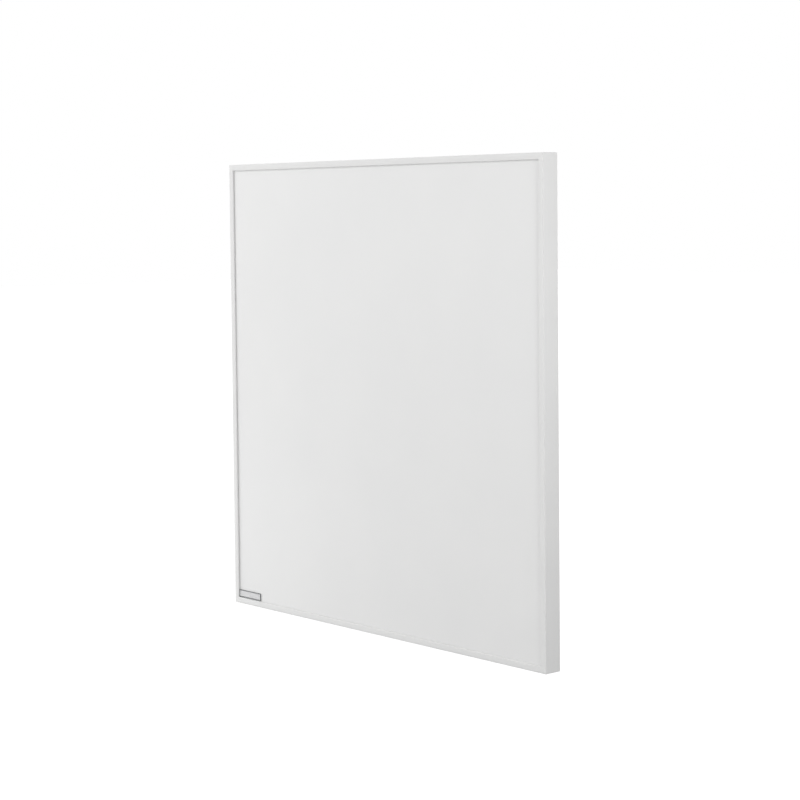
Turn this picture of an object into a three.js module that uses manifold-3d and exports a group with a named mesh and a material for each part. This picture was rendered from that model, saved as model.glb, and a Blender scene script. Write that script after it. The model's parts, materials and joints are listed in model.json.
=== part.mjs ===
// Infrared panel heater for a wall, 595 mm square: a coated radiating plate in a slim mitred frame,
// with the heating track, its insulation, the rear cover and the terminal box behind it. It hangs on
// two hooked wall rails. Millimetres. X runs to the right as seen from the room, Z is up, and the
// wall is the plane y = 0, with the room on its -Y side. The origin is the middle of the upper wall
// rail's back face. Inside the heater, depths count from the front of the frame towards the wall.
import * as THREE from "three";
import { mergeVertices } from "three/addons/utils/BufferGeometryUtils.js";
import Module from "manifold-3d";

// Panel, and its place on the wall
const panelWidth = 595;
const panelHeight = 595;
const frameDepth = 23;
const wallGap = 20; // rear of the frame to the wall
const railInset = 127.5; // edge of the panel to the middle of the nearer wall rail

// Clearances
const layerGap = 0.2; // between sheets that lie on each other
const restGap = 0.3; // between pieces that rest on each other
const edgeGap = 0.6; // edge of a sheet to the wall beside it
const shankGap = 0.2; // screw or stud to its hole, on the radius

// Frame: one extruded section, mitred at the corners
const frameWall = 1.4;
const lipWidth = 8;
const lipThickness = 1.5;
const lipRound = 0.6; // rounding of the lip's two front edges
const channelWidth = 7.4; // inside of the hollow that takes the corner keys
const channelWall = 1.2;
const ledgeWidth = 4; // past the channel, under the rear cover
const ledgeThickness = 1.4;
const rimHeight = 1; // frame wall past the rear cover
const mitreGap = 0.2; // each rail stops this far short of the mitre, along its length

// Corner keys
const keyArm = 42;
const keyBarbPitch = 8;
const keyBarbDepth = 1;
const keyBarbs = 4; // on each arm

// Sheets behind the lip, from the front
const gasketThickness = 0.5;
const gasketSetback = 0.3; // inner edge of the lip to the gasket
const plateThickness = 1;
const plateCorner = 1.5;
const micaThickness = 0.5;
const foilThickness = 0.3;

// Heating track: a flat ribbon that snakes over the panel
const trackThickness = 0.4;
const trackWidth = 10;
const trackRuns = 16;
const trackBorder = 24; // edge of the board to the middle of the outer runs
const tabRadius = 8;

// Badge in the lower left corner of the plate
const badgeWidth = 46.5;
const badgeHeight = 10;
const badgeThickness = 0.8;
const badgeInset = 0.5; // lip to the badge
const bezelWidth = 1;
const bezelProud = 0.2; // bezel over the face of the badge

// Rear cover: pressed sheet
const coverThickness = 0.8;
const panRecess = 2.4; // flange down to the pan
const panCorner = 12;
const panSlope = 2.4; // width of the slanted wall round the pan
const beadCount = 5;
const beadWidth = 16;
const beadHeight = 1.8;
const beadSlope = 3;
const beadMargin = 70; // side of the pan to the outer beads
const beadEnd = 40; // middle of a rail to the bead's end

// Cover screws
const coverScrewInset = 125; // corner of the panel to the screw
const screwRadius = 1.5;
const screwHeadRadius = 3.2;
const screwHeadHeight = 2;
const coverScrewLength = 7;

// Hooked rails: the heater's hanger rails hook over the wall rails
const railSheet = 1.5;
const railBend = 1; // inside radius of the bends
const wallFlange = 26;
const wallRailReach = 11.5; // wall to the front of the hook
const wallHook = 13; // hook over the web
const wallRailEnd = 87.5; // side of the panel to the end of the wall rail
const hangerFlange = 26;
const hangerHook = 11.5;
const hangerRailEnd = 97.5;
const hookPlay = 0.8; // between the two hooks
const slotLength = 16;
const slotWidth = 6.5;
const slotInset = 45; // end of the wall rail to the middle of the slot
const rivetInset = 50; // end of the hanger rail to the rivet
const rivetRadius = 1.6;
const rivetHeadRadius = 4.8; // large flanged head
const rivetHeadHeight = 1.5;
const rivetTail = 1.6; // bulge in front of the cover
const rivetTailRadius = 2.7;

// Terminal box on the rear cover
const boxWidth = 88;
const boxHeight = 76;
const boxDepth = 16.2; // base without its lid
const boxWall = 2;
const boxCorner = 5;
const boxRise = 25.5; // lower edge of the panel to the box
const lidThickness = 2;
const lidSkirt = 2.2;
const lidBossInset = 6.5; // side of the box to the lid screw
const lidBossRadius = 4;
const lidScrewLength = 9;
const baseScrewInset = 13; // side of the box to a base screw
const baseScrewDrop = 31; // top of the box to the base screws
const baseScrewLength = 6;

// Wiring
const wireRadius = 1.5;
const wireBend = 5;
const wireDrop = 16; // top of the box to the wires' passage
const wireSpread = 3; // middle of the passage to each wire
const ductWidth = 7.5;
const ductDepth = 5;
const cutoutSpread = 120; // middle of the panel to each cut-out
const cutoutRadius = 7.8;
const cutoutFlange = 0.8;
const spadeLength = 7;
const spadeWidth = 6.3;
const spadeThickness = 0.8;
const pocketRadius = 10; // round pockets in the board
const postRadius = 2.5; // terminal posts of the track
const postFootRadius = 4;
const grommetBore = 5.5;
const grommetNeck = 7.6;
const grommetLip = 9.6;
const grommetLipThickness = 1.4;
const wellWidth = 66; // well in the board behind the terminal box
const wellHeight = 30;
const wellDepth = 7;

// Inside the terminal box
const blockLength = 34;
const blockHeight = 18;
const blockDepth = 13;
const blockRise = 34; // bottom of the box to the middle of the block
const polePitch = 11;
const poleRadius = 2.3;
const poleScrewRadius = 2;
const wireEntry = 5; // wire into its pole
const earthSpread = 26; // middle of the box to the earth stud
const earthRadius = 2;
const earthNutRadius = 4;
const earthNutHeight = 3;
const studFoot = 1.5; // stud in front of the cover
const earthTagRadius = 4.5;
const earthTagReach = 8; // stud to the end of the tag's tongue
const earthTagThickness = 0.8;
const clampRise = 14; // bottom of the box to the middle of the cord clamp
const clampSpread = 9; // middle of the clamp to its screws
const clampFoot = 3.6; // screw to the end of the foot
const clampWidth = 7;
const clampSheet = 1.2;
const clampBossRadius = 3.4;
const clampBossHeight = 5;
const clampSaddle = 2.4; // cord rest between the bosses
const clampScrewLength = 6;

// Cord gland in the bottom wall of the box
const cordRadius = 3.1;
const glandAxis = 9.2; // cover to the axis of the gland
const glandThreadRadius = 5;
const glandThread = 5; // thread inside the box
const glandBore = 3.4;
const glandHex = 6.5; // middle to a flat
const glandHexHeight = 4;
const glandNutRadius = 6.6;
const glandNutHeight = 10;
const locknutHex = 6.6;
const locknutHeight = 3;

// Depths from the front of the frame
const gasketDepth = lipThickness + layerGap;
const plateDepth = gasketDepth + gasketThickness + layerGap;
const micaFrontDepth = plateDepth + plateThickness + layerGap;
const trackDepth = micaFrontDepth + micaThickness + layerGap;
const micaRearDepth = trackDepth + trackThickness + layerGap;
const channelDepth = micaRearDepth + micaThickness + layerGap;
const foilDepth = channelDepth;
const boardDepth = foilDepth + foilThickness + layerGap;
const flangeDepth = frameDepth - rimHeight - coverThickness;
const ledgeDepth = flangeDepth - layerGap - ledgeThickness;
const panDepth = flangeDepth - panRecess;
const panRear = panDepth + coverThickness;
const boardThickness = panDepth - layerGap - boardDepth;
const boardRear = boardDepth + boardThickness;
const seatDepth = panRear + layerGap; // where rails and box sit on the cover
const boxFloor = seatDepth + boxWall;
const boxRim = seatDepth + boxDepth;
const wallDepth = frameDepth + wallGap;
const wireDepth = boardRear - ductDepth + restGap + wireRadius;
const glandDepth = seatDepth + glandAxis;

// Sizes and places across the panel
const channelEdge = frameWall + channelWidth + channelWall; // frame's outer face to its inner wall
const channelMiddle = frameWall + channelWidth / 2;
const sheetWidth = panelWidth - 2 * (frameWall + edgeGap);
const sheetHeight = panelHeight - 2 * (frameWall + edgeGap);
const boardWidth = panelWidth - 2 * (channelEdge + edgeGap);
const boardHeight = panelHeight - 2 * (channelEdge + edgeGap);
const panWidth = panelWidth - 2 * (channelEdge + ledgeWidth + edgeGap); // at the flange
const panHeight = panelHeight - 2 * (channelEdge + ledgeWidth + edgeGap);
const panelBottom = -panelHeight / 2;
const railHeight = panelHeight / 2 - railInset; // middle of the panel to each wall rail
const wallRailLength = panelWidth - 2 * wallRailEnd;
const hangerRailLength = panelWidth - 2 * hangerRailEnd;
const rivetSpread = hangerRailLength / 2 - rivetInset;
const hookTop = wallFlange / 2 + wallHook; // over the middle of the wall rail's flange
const hangerTop = hookTop + restGap + railSheet;
const hangerMiddle = hangerTop - hangerFlange / 2 - railSheet;
const boxBottom = panelBottom + boxRise;
const boxTop = boxBottom + boxHeight;
const baseScrewSpread = boxWidth / 2 - baseScrewInset;
const boxMiddle = boxBottom + boxHeight / 2;
const wireHeight = boxTop - wireDrop;
const blockMiddle = boxBottom + blockRise;
const clampMiddle = boxBottom + clampRise;
const trackSpread = boardWidth / 2 - trackBorder;
const trackReach = boardHeight / 2 - trackBorder;
const poleDepth = boxFloor + layerGap + blockDepth / 2;

function paint(color, roughness, metalness) {
  return new THREE.MeshStandardMaterial({ color, roughness, metalness });
}

const finishes = {
  frame: paint(0xe9e9e8, 0.42, 0),
  plate: paint(0xededec, 0.48, 0),
  gasket: paint(0xd2d2d1, 0.9, 0),
  badge: paint(0xc9cacb, 0.35, 0.8),
  bezel: paint(0x6c6e70, 0.4, 0.5),
  zinc: paint(0xb9bcbf, 0.38, 0.9),
  galvanised: paint(0xaeb2b5, 0.5, 0.85),
  aluminium: paint(0xc4c6c8, 0.4, 0.9),
  brass: paint(0xc2a35a, 0.35, 0.9),
  mica: paint(0xb7a98b, 0.6, 0),
  track: paint(0x54585c, 0.45, 0.7),
  foil: paint(0xd4d6d8, 0.3, 0.95),
  board: paint(0xe0d9c8, 0.95, 0),
  housing: paint(0x232425, 0.5, 0),
  rubber: paint(0x1d1d1e, 0.8, 0),
  ceramic: paint(0xe6e1d5, 0.55, 0),
  sleeve: paint(0xd9d4c8, 0.7, 0),
  earthSleeve: paint(0x9bb23a, 0.6, 0),
};

// Solids and sheets

const wasm = await Module();
wasm.setup();

// A closed mesh as a solid that can be cut and joined.
function solidOf(geometry) {
  const plain = geometry.clone();
  plain.deleteAttribute("normal");
  plain.deleteAttribute("uv");
  const merged = mergeVertices(plain);
  const mesh = new wasm.Mesh({
    numProp: 3,
    vertProperties: merged.attributes.position.array,
    triVerts: new Uint32Array(merged.index.array),
  });
  return new wasm.Manifold(mesh);
}

function geometryOf(solid) {
  const mesh = solid.getMesh();
  return new THREE.BufferGeometry()
    .setAttribute("position", new THREE.BufferAttribute(mesh.vertProperties, 3))
    .setIndex(new THREE.BufferAttribute(mesh.triVerts, 1));
}

function carve(geometry, tools) {
  return geometryOf(tools.reduce((solid, tool) => solid.subtract(solidOf(tool)), solidOf(geometry)));
}

function fuse(geometries) {
  return geometryOf(geometries.map(solidOf).reduce((whole, solid) => whole.add(solid)));
}

function roundedRect(width, height, radius) {
  const x = width / 2 - radius;
  const y = height / 2 - radius;
  return new THREE.Shape()
    .absarc(x, y, radius, 0, Math.PI / 2)
    .absarc(-x, y, radius, Math.PI / 2, Math.PI)
    .absarc(-x, -y, radius, Math.PI, 1.5 * Math.PI)
    .absarc(x, -y, radius, 1.5 * Math.PI, 2 * Math.PI);
}

// A round-ended slot of the given overall length, along the shape's x.
function stadium(length, width) {
  const x = (length - width) / 2;
  return new THREE.Shape()
    .absarc(x, 0, width / 2, -Math.PI / 2, Math.PI / 2)
    .absarc(-x, 0, width / 2, Math.PI / 2, 1.5 * Math.PI);
}

function polygon(points) {
  return new THREE.Shape(points.map(([x, y]) => new THREE.Vector2(x, y)));
}

// A sheet in the X-Z plane, from depth 0 to its thickness.
function slab(shape, thickness, arcSteps = 4) {
  const options = { depth: thickness, bevelEnabled: false, curveSegments: arcSteps };
  return new THREE.ExtrudeGeometry(shape, options).rotateX(Math.PI / 2).translate(0, thickness, 0);
}

// A sheet whose outline draws in by the inset towards its front, or its rear if that is said.
function pressing(shape, thickness, inset, arcSteps, narrowRear = false) {
  const geometry = slab(shape, thickness, arcSteps);
  const place = geometry.attributes.position;
  for (let i = 0; i < place.count; i++) {
    const rear = place.getY(i) > thickness / 2;
    if (rear !== narrowRear) continue;
    place.setX(i, place.getX(i) - Math.sign(place.getX(i)) * inset);
    place.setZ(i, place.getZ(i) - Math.sign(place.getZ(i)) * inset);
  }
  return geometry;
}

function rod(radius, length, sides = 12) {
  return new THREE.CylinderGeometry(radius, radius, length, sides).translate(0, length / 2, 0);
}

// A hexagonal bar along Y with flats towards +Z and -Z.
function hexBar(flat, length) {
  return rod(flat / Math.cos(Math.PI / 6), length, 6).rotateY(Math.PI / 6);
}

// A solid of revolution about Y, from [radius, y] pairs.
function turned(profile, sides = 16) {
  return new THREE.LatheGeometry(profile.map(([radius, y]) => new THREE.Vector2(radius, y)), sides);
}

// A pan-head screw along Y whose head seats at y = 0 and whose point looks towards -Y.
function screw(length, radius = screwRadius, headRadius = screwHeadRadius, headHeight = screwHeadHeight) {
  const profile = [
    [0, -length],
    [radius, -length + radius],
    [radius, 0],
    [headRadius, 0],
    [headRadius, headHeight * 0.45],
    [headRadius * 0.62, headHeight],
    [0, headHeight],
  ];
  return turned(profile, 12);
}

// Sheet metal bent round the given corners: the outline of its section, with arcs at the bends.
function foldedStrip(corners, thickness, insideRadius) {
  const middle = insideRadius + thickness / 2;
  const points = corners.map(([x, y]) => new THREE.Vector2(x, y));
  const line = [];
  points.forEach((corner, i) => {
    if (i === 0 || i === points.length - 1) {
      line.push(corner);
      return;
    }
    const before = points[i - 1].clone().sub(corner).normalize();
    const after = points[i + 1].clone().sub(corner).normalize();
    const half = Math.acos(before.dot(after)) / 2;
    const inwards = before.clone().add(after).normalize();
    const centre = corner.clone().addScaledVector(inwards, middle / Math.sin(half));
    const start = corner.clone().addScaledVector(before, middle / Math.tan(half)).sub(centre);
    const turn = Math.PI - 2 * half;
    const side = Math.sign(before.cross(after));
    for (const share of [0, 1 / 3, 2 / 3, 1]) {
      line.push(start.clone().rotateAround(new THREE.Vector2(), -side * turn * share).add(centre));
    }
  });
  const normals = line.map((point, i) => {
    const ahead = line[Math.min(i + 1, line.length - 1)].clone().sub(point).normalize();
    const behind = point.clone().sub(line[Math.max(i - 1, 0)]).normalize();
    const along = ahead.add(behind).normalize();
    return new THREE.Vector2(-along.y, along.x).multiplyScalar(thickness / 2);
  });
  const left = line.map((point, i) => point.clone().add(normals[i]));
  const right = line.map((point, i) => point.clone().sub(normals[i]));
  return new THREE.Shape([...left, ...right.reverse()]);
}

// A section drawn in (y, z), drawn out along X and centred on it.
function beam(shape, length) {
  return new THREE.ExtrudeGeometry(shape, { depth: length, bevelEnabled: false })
    .applyMatrix4(new THREE.Matrix4().set(0, 0, 1, -length / 2, 1, 0, 0, 0, 0, 1, 0, 0, 0, 0, 0, 1));
}

// A path through stations, each of which is one step of the wire drawn along it.
class Route extends THREE.Curve {
  constructor(stations) {
    super();
    this.stations = stations;
  }

  getUtoTmapping(share) {
    return share;
  }

  getPoint(share, target = new THREE.Vector3()) {
    const last = this.stations.length - 1;
    const along = THREE.MathUtils.clamp(share, 0, 1) * last;
    const from = Math.min(Math.floor(along), last - 1);
    return target.lerpVectors(this.stations[from], this.stations[from + 1], along - from);
  }
}

// A round wire through corner points, each corner rounded to the bend radius.
function wire(corners, radius = wireRadius, bend = wireBend) {
  const points = corners.map((corner) => new THREE.Vector3(...corner));
  const stations = [];
  points.forEach((corner, i) => {
    if (i === 0 || i === points.length - 1) {
      stations.push(corner);
      return;
    }
    const before = points[i - 1].clone().sub(corner).normalize();
    const after = points[i + 1].clone().sub(corner).normalize();
    const half = before.angleTo(after) / 2;
    const run = bend / Math.tan(half);
    const curve = new THREE.QuadraticBezierCurve3(
      corner.clone().addScaledVector(before, run),
      corner,
      corner.clone().addScaledVector(after, run),
    );
    stations.push(...curve.getPoints(4));
  });
  const section = new THREE.Shape().absarc(0, 0, radius, 0, 2 * Math.PI);
  return new THREE.ExtrudeGeometry(section, {
    steps: stations.length - 1,
    extrudePath: new Route(stations),
    curveSegments: 4,
  });
}

// Assembly groups: the two wall rails stay on the wall, and the heater lifts off them.
const root = new THREE.Group();
const heater = new THREE.Group();
heater.position.set(0, -wallDepth, -railHeight);
root.add(heater);

function piece(name, geometry, material, parent = heater) {
  const mesh = new THREE.Mesh(geometry, material);
  mesh.name = name;
  parent.add(mesh);
  return mesh;
}

// Frame

function frameSection() {
  const section = new THREE.Shape()
    .moveTo(0, lipRound)
    .absarc(lipRound, lipRound, lipRound, Math.PI, 1.5 * Math.PI)
    .absarc(lipWidth - lipRound, lipRound, lipRound, 1.5 * Math.PI, 2 * Math.PI)
    .lineTo(lipWidth, lipThickness)
    .lineTo(frameWall, lipThickness)
    .lineTo(frameWall, channelDepth)
    .lineTo(channelEdge, channelDepth)
    .lineTo(channelEdge, ledgeDepth)
    .lineTo(channelEdge + ledgeWidth, ledgeDepth)
    .lineTo(channelEdge + ledgeWidth, ledgeDepth + ledgeThickness)
    .lineTo(frameWall, ledgeDepth + ledgeThickness)
    .lineTo(frameWall, frameDepth)
    .lineTo(0, frameDepth);
  const channel = polygon([
    [frameWall, channelDepth + channelWall],
    [frameWall + channelWidth, channelDepth + channelWall],
    [frameWall + channelWidth, ledgeDepth],
    [frameWall, ledgeDepth],
  ]);
  section.holes.push(channel);
  return section;
}

// One rail along X, its outer face at z = 0 and its ends cut back at 45 degrees.
function frameRail(length) {
  const rail = new THREE.ExtrudeGeometry(frameSection(), { depth: 1, bevelEnabled: false, curveSegments: 3 });
  const place = rail.attributes.position;
  for (let i = 0; i < place.count; i++) {
    const inward = place.getX(i);
    const end = place.getZ(i) > 0.5 ? -1 : 1;
    place.setXYZ(i, end * (length / 2 - inward - mitreGap), place.getY(i), inward);
  }
  const holes = [-1, 1].map((end) =>
    rod(screwRadius + shankGap, 3 * ledgeThickness)
      .translate(end * (length / 2 - coverScrewInset), ledgeDepth - ledgeThickness, channelMiddle));
  return carve(rail, holes);
}

["bottom", "left", "top", "right"].forEach((side, turn) => {
  const upright = turn % 2 === 1;
  const length = upright ? panelHeight : panelWidth;
  const reach = (upright ? panelWidth : panelHeight) / 2;
  const edge = new THREE.Group();
  edge.rotation.y = turn * Math.PI / 2;
  heater.add(edge);
  piece(`frame_rail_${side}`, frameRail(length), finishes.frame, edge).position.z = -reach;
  [-1, 1].forEach((end, i) => {
    const coverScrew = piece(`cover_screw_${side}_${i + 1}`, screw(coverScrewLength), finishes.zinc, edge);
    const seat = flangeDepth + coverThickness + layerGap;
    coverScrew.position.set(end * (length / 2 - coverScrewInset), seat, channelMiddle - reach);
  });
});

// An L with barbs that bite the channel's inner wall, drawn from the frame's outer corner.
function cornerKey() {
  const outside = frameWall + restGap;
  const inside = frameWall + channelWidth - restGap;
  const barbs = [];
  for (let i = 0; i < keyBarbs; i++) {
    const tip = keyArm - i * keyBarbPitch;
    barbs.push([tip, inside], [tip - keyBarbPitch, inside - keyBarbDepth]);
  }
  const mirrored = barbs.map(([along, across]) => [across, along]).reverse();
  const outline = [
    [outside, outside], [keyArm, outside],
    ...barbs, [inside, inside], ...mirrored,
    [outside, keyArm],
  ];
  return slab(polygon(outline), ledgeDepth - channelDepth - channelWall - 2 * restGap);
}

["lower_left", "upper_left", "upper_right", "lower_right"].forEach((corner, turn) => {
  const key = piece(`corner_key_${corner}`, cornerKey(), finishes.zinc);
  key.rotation.y = turn * Math.PI / 2;
  const x = (corner.endsWith("left") ? -1 : 1) * panelWidth / 2;
  const z = (corner.startsWith("lower") ? -1 : 1) * panelHeight / 2;
  key.position.set(x, channelDepth + channelWall + restGap, z);
});

// Radiating plate, its gasket and its badge

const gasketOutline = roundedRect(sheetWidth, sheetHeight, plateCorner);
const gasketWindow = 2 * (lipWidth - gasketSetback);
gasketOutline.holes.push(roundedRect(panelWidth - gasketWindow, panelHeight - gasketWindow, plateCorner));
piece("lip_gasket", slab(gasketOutline, gasketThickness, 2), finishes.gasket).position.y = gasketDepth;

const sheetOutline = roundedRect(sheetWidth, sheetHeight, plateCorner);
piece("radiating_plate", slab(sheetOutline, plateThickness), finishes.plate).position.y = plateDepth;

// The bezel runs round three sides of the badge; the fourth butts against the frame.
function badgeBezel() {
  const x = badgeWidth / 2;
  const z = badgeHeight / 2;
  const outline = polygon([
    [-x, -z], [x, -z], [x, z], [-x, z],
    [-x, z - bezelWidth], [x - bezelWidth, z - bezelWidth],
    [x - bezelWidth, -z + bezelWidth], [-x, -z + bezelWidth],
  ]);
  return slab(outline, badgeThickness + bezelProud);
}

const badgeX = -panelWidth / 2 + lipWidth + badgeInset + badgeWidth / 2;
const badgeZ = panelBottom + lipWidth + badgeInset + badgeHeight / 2;
const badgeRear = plateDepth - layerGap;
const badgeFace = {
  width: badgeWidth - bezelWidth - layerGap,
  height: badgeHeight - 2 * bezelWidth - 2 * layerGap,
};
piece("badge_bezel", badgeBezel(), finishes.bezel)
  .position.set(badgeX, badgeRear - badgeThickness - bezelProud, badgeZ);
const badgeOutline = roundedRect(badgeFace.width, badgeFace.height, layerGap);
piece("badge_plate", slab(badgeOutline, badgeThickness, 1), finishes.badge)
  .position.set(badgeX - (bezelWidth + layerGap) / 2, badgeRear - badgeThickness, badgeZ);

// Heating track between its mica sheets

// The ribbon goes up and down between round turns, and both of its ends are at the bottom.
function trackRibbon() {
  const pitch = 2 * trackSpread / (trackRuns - 1);
  const turnHeight = trackReach - pitch / 2;
  const sides = [[], []];
  for (let run = 0; run < trackRuns; run++) {
    const x = -trackSpread + run * pitch;
    const up = run % 2 === 0 ? 1 : -1;
    if (run === 0) sides.forEach((side, i) => side.push([x + (i - 0.5) * trackWidth, wireHeight]));
    if (run === trackRuns - 1) {
      sides.forEach((side, i) => side.push([x + (i - 0.5) * trackWidth * up, wireHeight]));
      break;
    }
    for (let step = 0; step <= 8; step++) {
      const angle = Math.PI * (1 - step / 8);
      sides.forEach((side, i) => {
        const radius = pitch / 2 + (0.5 - i) * up * trackWidth;
        side.push([x + pitch / 2 + radius * Math.cos(angle), up * (turnHeight + radius * Math.sin(angle))]);
      });
    }
  }
  return slab(polygon([...sides[0], ...sides[1].reverse()]), trackThickness);
}

const trackEnds = [-trackSpread, trackSpread];
const trackTabs = trackEnds.map((x) => rod(tabRadius, trackThickness, 16).translate(x, 0, wireHeight));
piece("heating_track", fuse([trackRibbon(), ...trackTabs]), finishes.track).position.y = trackDepth;

piece("mica_sheet_front", slab(sheetOutline, micaThickness, 2), finishes.mica).position.y = micaFrontDepth;

const postHoles = (thickness) => trackEnds.map((x) =>
  rod(postFootRadius + edgeGap, 3 * thickness).translate(x, -thickness, wireHeight));
piece("mica_sheet_rear", carve(slab(sheetOutline, micaThickness, 2), postHoles(micaThickness)), finishes.mica)
  .position.y = micaRearDepth;

const foilSheet = slab(roundedRect(boardWidth, boardHeight, plateCorner), foilThickness, 2);
piece("reflector_foil", carve(foilSheet, postHoles(foilThickness)), finishes.foil).position.y = foilDepth;

// Insulation board, with pockets for what stands in it

function insulationBoard() {
  const board = slab(roundedRect(boardWidth, boardHeight, plateCorner), boardThickness, 2);
  const through = [...trackEnds, -cutoutSpread, cutoutSpread].map((x) =>
    rod(pocketRadius, 2 * boardThickness, 16).translate(x, -boardThickness / 2, wireHeight));
  const duct = slab(stadium(2 * trackSpread, ductWidth), 2 * ductDepth, 2)
    .translate(0, boardThickness - ductDepth, wireHeight);
  const well = slab(roundedRect(wellWidth, wellHeight, ductWidth / 2), 2 * wellDepth, 2)
    .translate(0, boardThickness - wellDepth, wireHeight);
  const base = [-1, 1].map((side) =>
    rod(screwRadius + edgeGap, 2 * baseScrewLength)
      .translate(side * baseScrewSpread, boardThickness - baseScrewLength, boxTop - baseScrewDrop));
  const rivets = [-1, 1].flatMap((side) => [-1, 1].map((level) =>
    rod(rivetTailRadius + edgeGap, 4 * rivetTail)
      .translate(side * rivetSpread, boardThickness - 2 * rivetTail, level * railHeight + hangerMiddle)));
  return carve(board, [...through, duct, well, ...base, ...rivets]);
}

piece("insulation_board", insulationBoard(), finishes.board).position.y = boardDepth;

// Posts that carry the current from the track's ends, and the two thermal cut-outs

function trackPost() {
  const foot = micaThickness + foilThickness + layerGap;
  const top = wireDepth + wireRadius + edgeGap - micaRearDepth;
  return turned([
    [0, 0], [postFootRadius, 0], [postFootRadius, foot], [postRadius, foot],
    [postRadius, top - edgeGap], [postRadius - edgeGap, top], [0, top],
  ], 12);
}

function thermalCutout() {
  const cap = 0.3 * (wireDepth - boardDepth);
  const top = wireDepth + spadeThickness - boardDepth;
  const body = turned([
    [0, 0], [cutoutRadius - edgeGap, 0], [cutoutRadius, edgeGap], [cutoutRadius, cap],
    [cutoutRadius + cutoutFlange, cap], [cutoutRadius + cutoutFlange, cap + cutoutFlange],
    [cutoutRadius, cap + cutoutFlange], [cutoutRadius, top], [0, top],
  ]);
  const spade = slab(roundedRect(2 * (cutoutRadius + spadeLength), spadeWidth, edgeGap), spadeThickness, 1)
    .translate(0, wireDepth - spadeThickness / 2 - boardDepth, 0);
  return fuse([body, spade]);
}

["left", "right"].forEach((side, i) => {
  const sign = i === 0 ? -1 : 1;
  piece(`track_post_${side}`, trackPost(), finishes.brass)
    .position.set(sign * trackSpread, micaRearDepth, wireHeight);
  piece(`thermal_cutout_${side}`, thermalCutout(), finishes.ceramic)
    .position.set(sign * cutoutSpread, boardDepth, wireHeight);
});

// Wires from the track, through the cut-outs, to the terminal block

["left", "right"].forEach((side, i) => {
  const sign = i === 0 ? -1 : 1;
  const spadeReach = cutoutRadius + spadeLength + restGap;
  const trackLead = [
    [sign * (trackSpread - postRadius - restGap), wireDepth, wireHeight],
    [sign * (cutoutSpread + spadeReach), wireDepth, wireHeight],
  ];
  const poleX = (i - 1) * polePitch;
  const boxLead = [
    [sign * (cutoutSpread - spadeReach), wireDepth, wireHeight],
    [sign * wireSpread, wireDepth, wireHeight],
    [sign * wireSpread, poleDepth, wireHeight],
    [poleX, poleDepth, wireHeight - 2 * wireBend],
    [poleX, poleDepth, blockMiddle + blockHeight / 2 - wireEntry],
  ];
  piece(`track_lead_${side}`, wire(trackLead), finishes.sleeve);
  piece(`box_lead_${side}`, wire(boxLead, wireRadius, wireBend / 2), finishes.sleeve);
});

// Rubber grommet that lines the wires' hole in the rear cover
const grommetFront = panDepth - layerGap - grommetLipThickness;
const grommetProfile = [
  [grommetBore, 0],
  [grommetLip, 0],
  [grommetLip, grommetLipThickness],
  [grommetNeck, grommetLipThickness],
  [grommetNeck, grommetLipThickness + 2 * layerGap + coverThickness],
  [grommetLip, grommetLipThickness + 2 * layerGap + coverThickness],
  [grommetLip, 2 * grommetLipThickness + 2 * layerGap + coverThickness],
  [grommetBore, 2 * grommetLipThickness + 2 * layerGap + coverThickness],
  [grommetBore, 0],
];
piece("wire_grommet", turned(grommetProfile), finishes.rubber).position.set(0, grommetFront, wireHeight);

// Rear cover: a flange on the frame's ledge, a pan pressed forward, and beads pressed back

function rearCover() {
  const flange = slab(sheetOutline, coverThickness, 2).translate(0, flangeDepth, 0);
  const pan = pressing(roundedRect(panWidth, panHeight, panCorner), panRecess + coverThickness, panSlope, 4)
    .translate(0, panDepth, 0);
  const beadLength = 2 * (railHeight - beadEnd);
  const beadPitch = (panWidth - 2 * beadMargin) / (beadCount - 1);
  const beads = [];
  for (let i = 0; i < beadCount; i++) {
    const outline = stadium(beadLength, beadWidth);
    const bead = pressing(outline, coverThickness + beadHeight, beadSlope, 4, true).rotateY(Math.PI / 2);
    beads.push(bead.translate((i - (beadCount - 1) / 2) * beadPitch, panDepth, 0));
  }
  const tray = carve(fuse([flange, pan]), [pan.clone().translate(0, coverThickness, 0)]);
  const hollows = beads.map((bead) => bead.clone().translate(0, -coverThickness, 0));
  return carve(fuse([tray, ...beads]), [...hollows, ...coverHoles()]);
}

function coverHoles() {
  const hole = (radius, x, z, sides) => rod(radius, frameDepth, sides).translate(x, boardRear - ductDepth, z);
  const screwX = panelWidth / 2 - coverScrewInset;
  const screwZ = panelHeight / 2 - coverScrewInset;
  const sideX = panelWidth / 2 - channelMiddle;
  const sideZ = panelHeight / 2 - channelMiddle;
  const holes = [hole(grommetNeck + layerGap, 0, wireHeight, 16)];
  holes.push(hole(earthRadius + shankGap, earthSpread, wireHeight));
  for (const sx of [-1, 1]) {
    holes.push(hole(screwRadius + shankGap, sx * baseScrewSpread, boxTop - baseScrewDrop));
    for (const sz of [-1, 1]) {
      holes.push(hole(screwRadius + shankGap, sx * screwX, sz * sideZ));
      holes.push(hole(screwRadius + shankGap, sx * sideX, sz * screwZ));
      holes.push(hole(rivetRadius + shankGap, sx * rivetSpread, sz * railHeight + hangerMiddle));
    }
  }
  return holes;
}

piece("rear_cover", rearCover(), finishes.galvanised);

// Hooked rails

// Z section of a wall rail about the middle of its back face, with slots for the wall screws.
function wallRail() {
  const back = -railSheet / 2;
  const web = wallFlange / 2 - railSheet / 2;
  const hook = -wallRailReach + railSheet / 2;
  const corners = [[back, -wallFlange / 2], [back, web], [hook, web], [hook, hookTop]];
  const section = foldedStrip(corners, railSheet, railBend);
  const slots = [-1, 1].map((side) =>
    slab(stadium(slotLength, slotWidth), 4 * railSheet)
      .translate(side * (wallRailLength / 2 - slotInset), -2 * railSheet, 0));
  return carve(beam(section, wallRailLength), slots);
}

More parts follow.
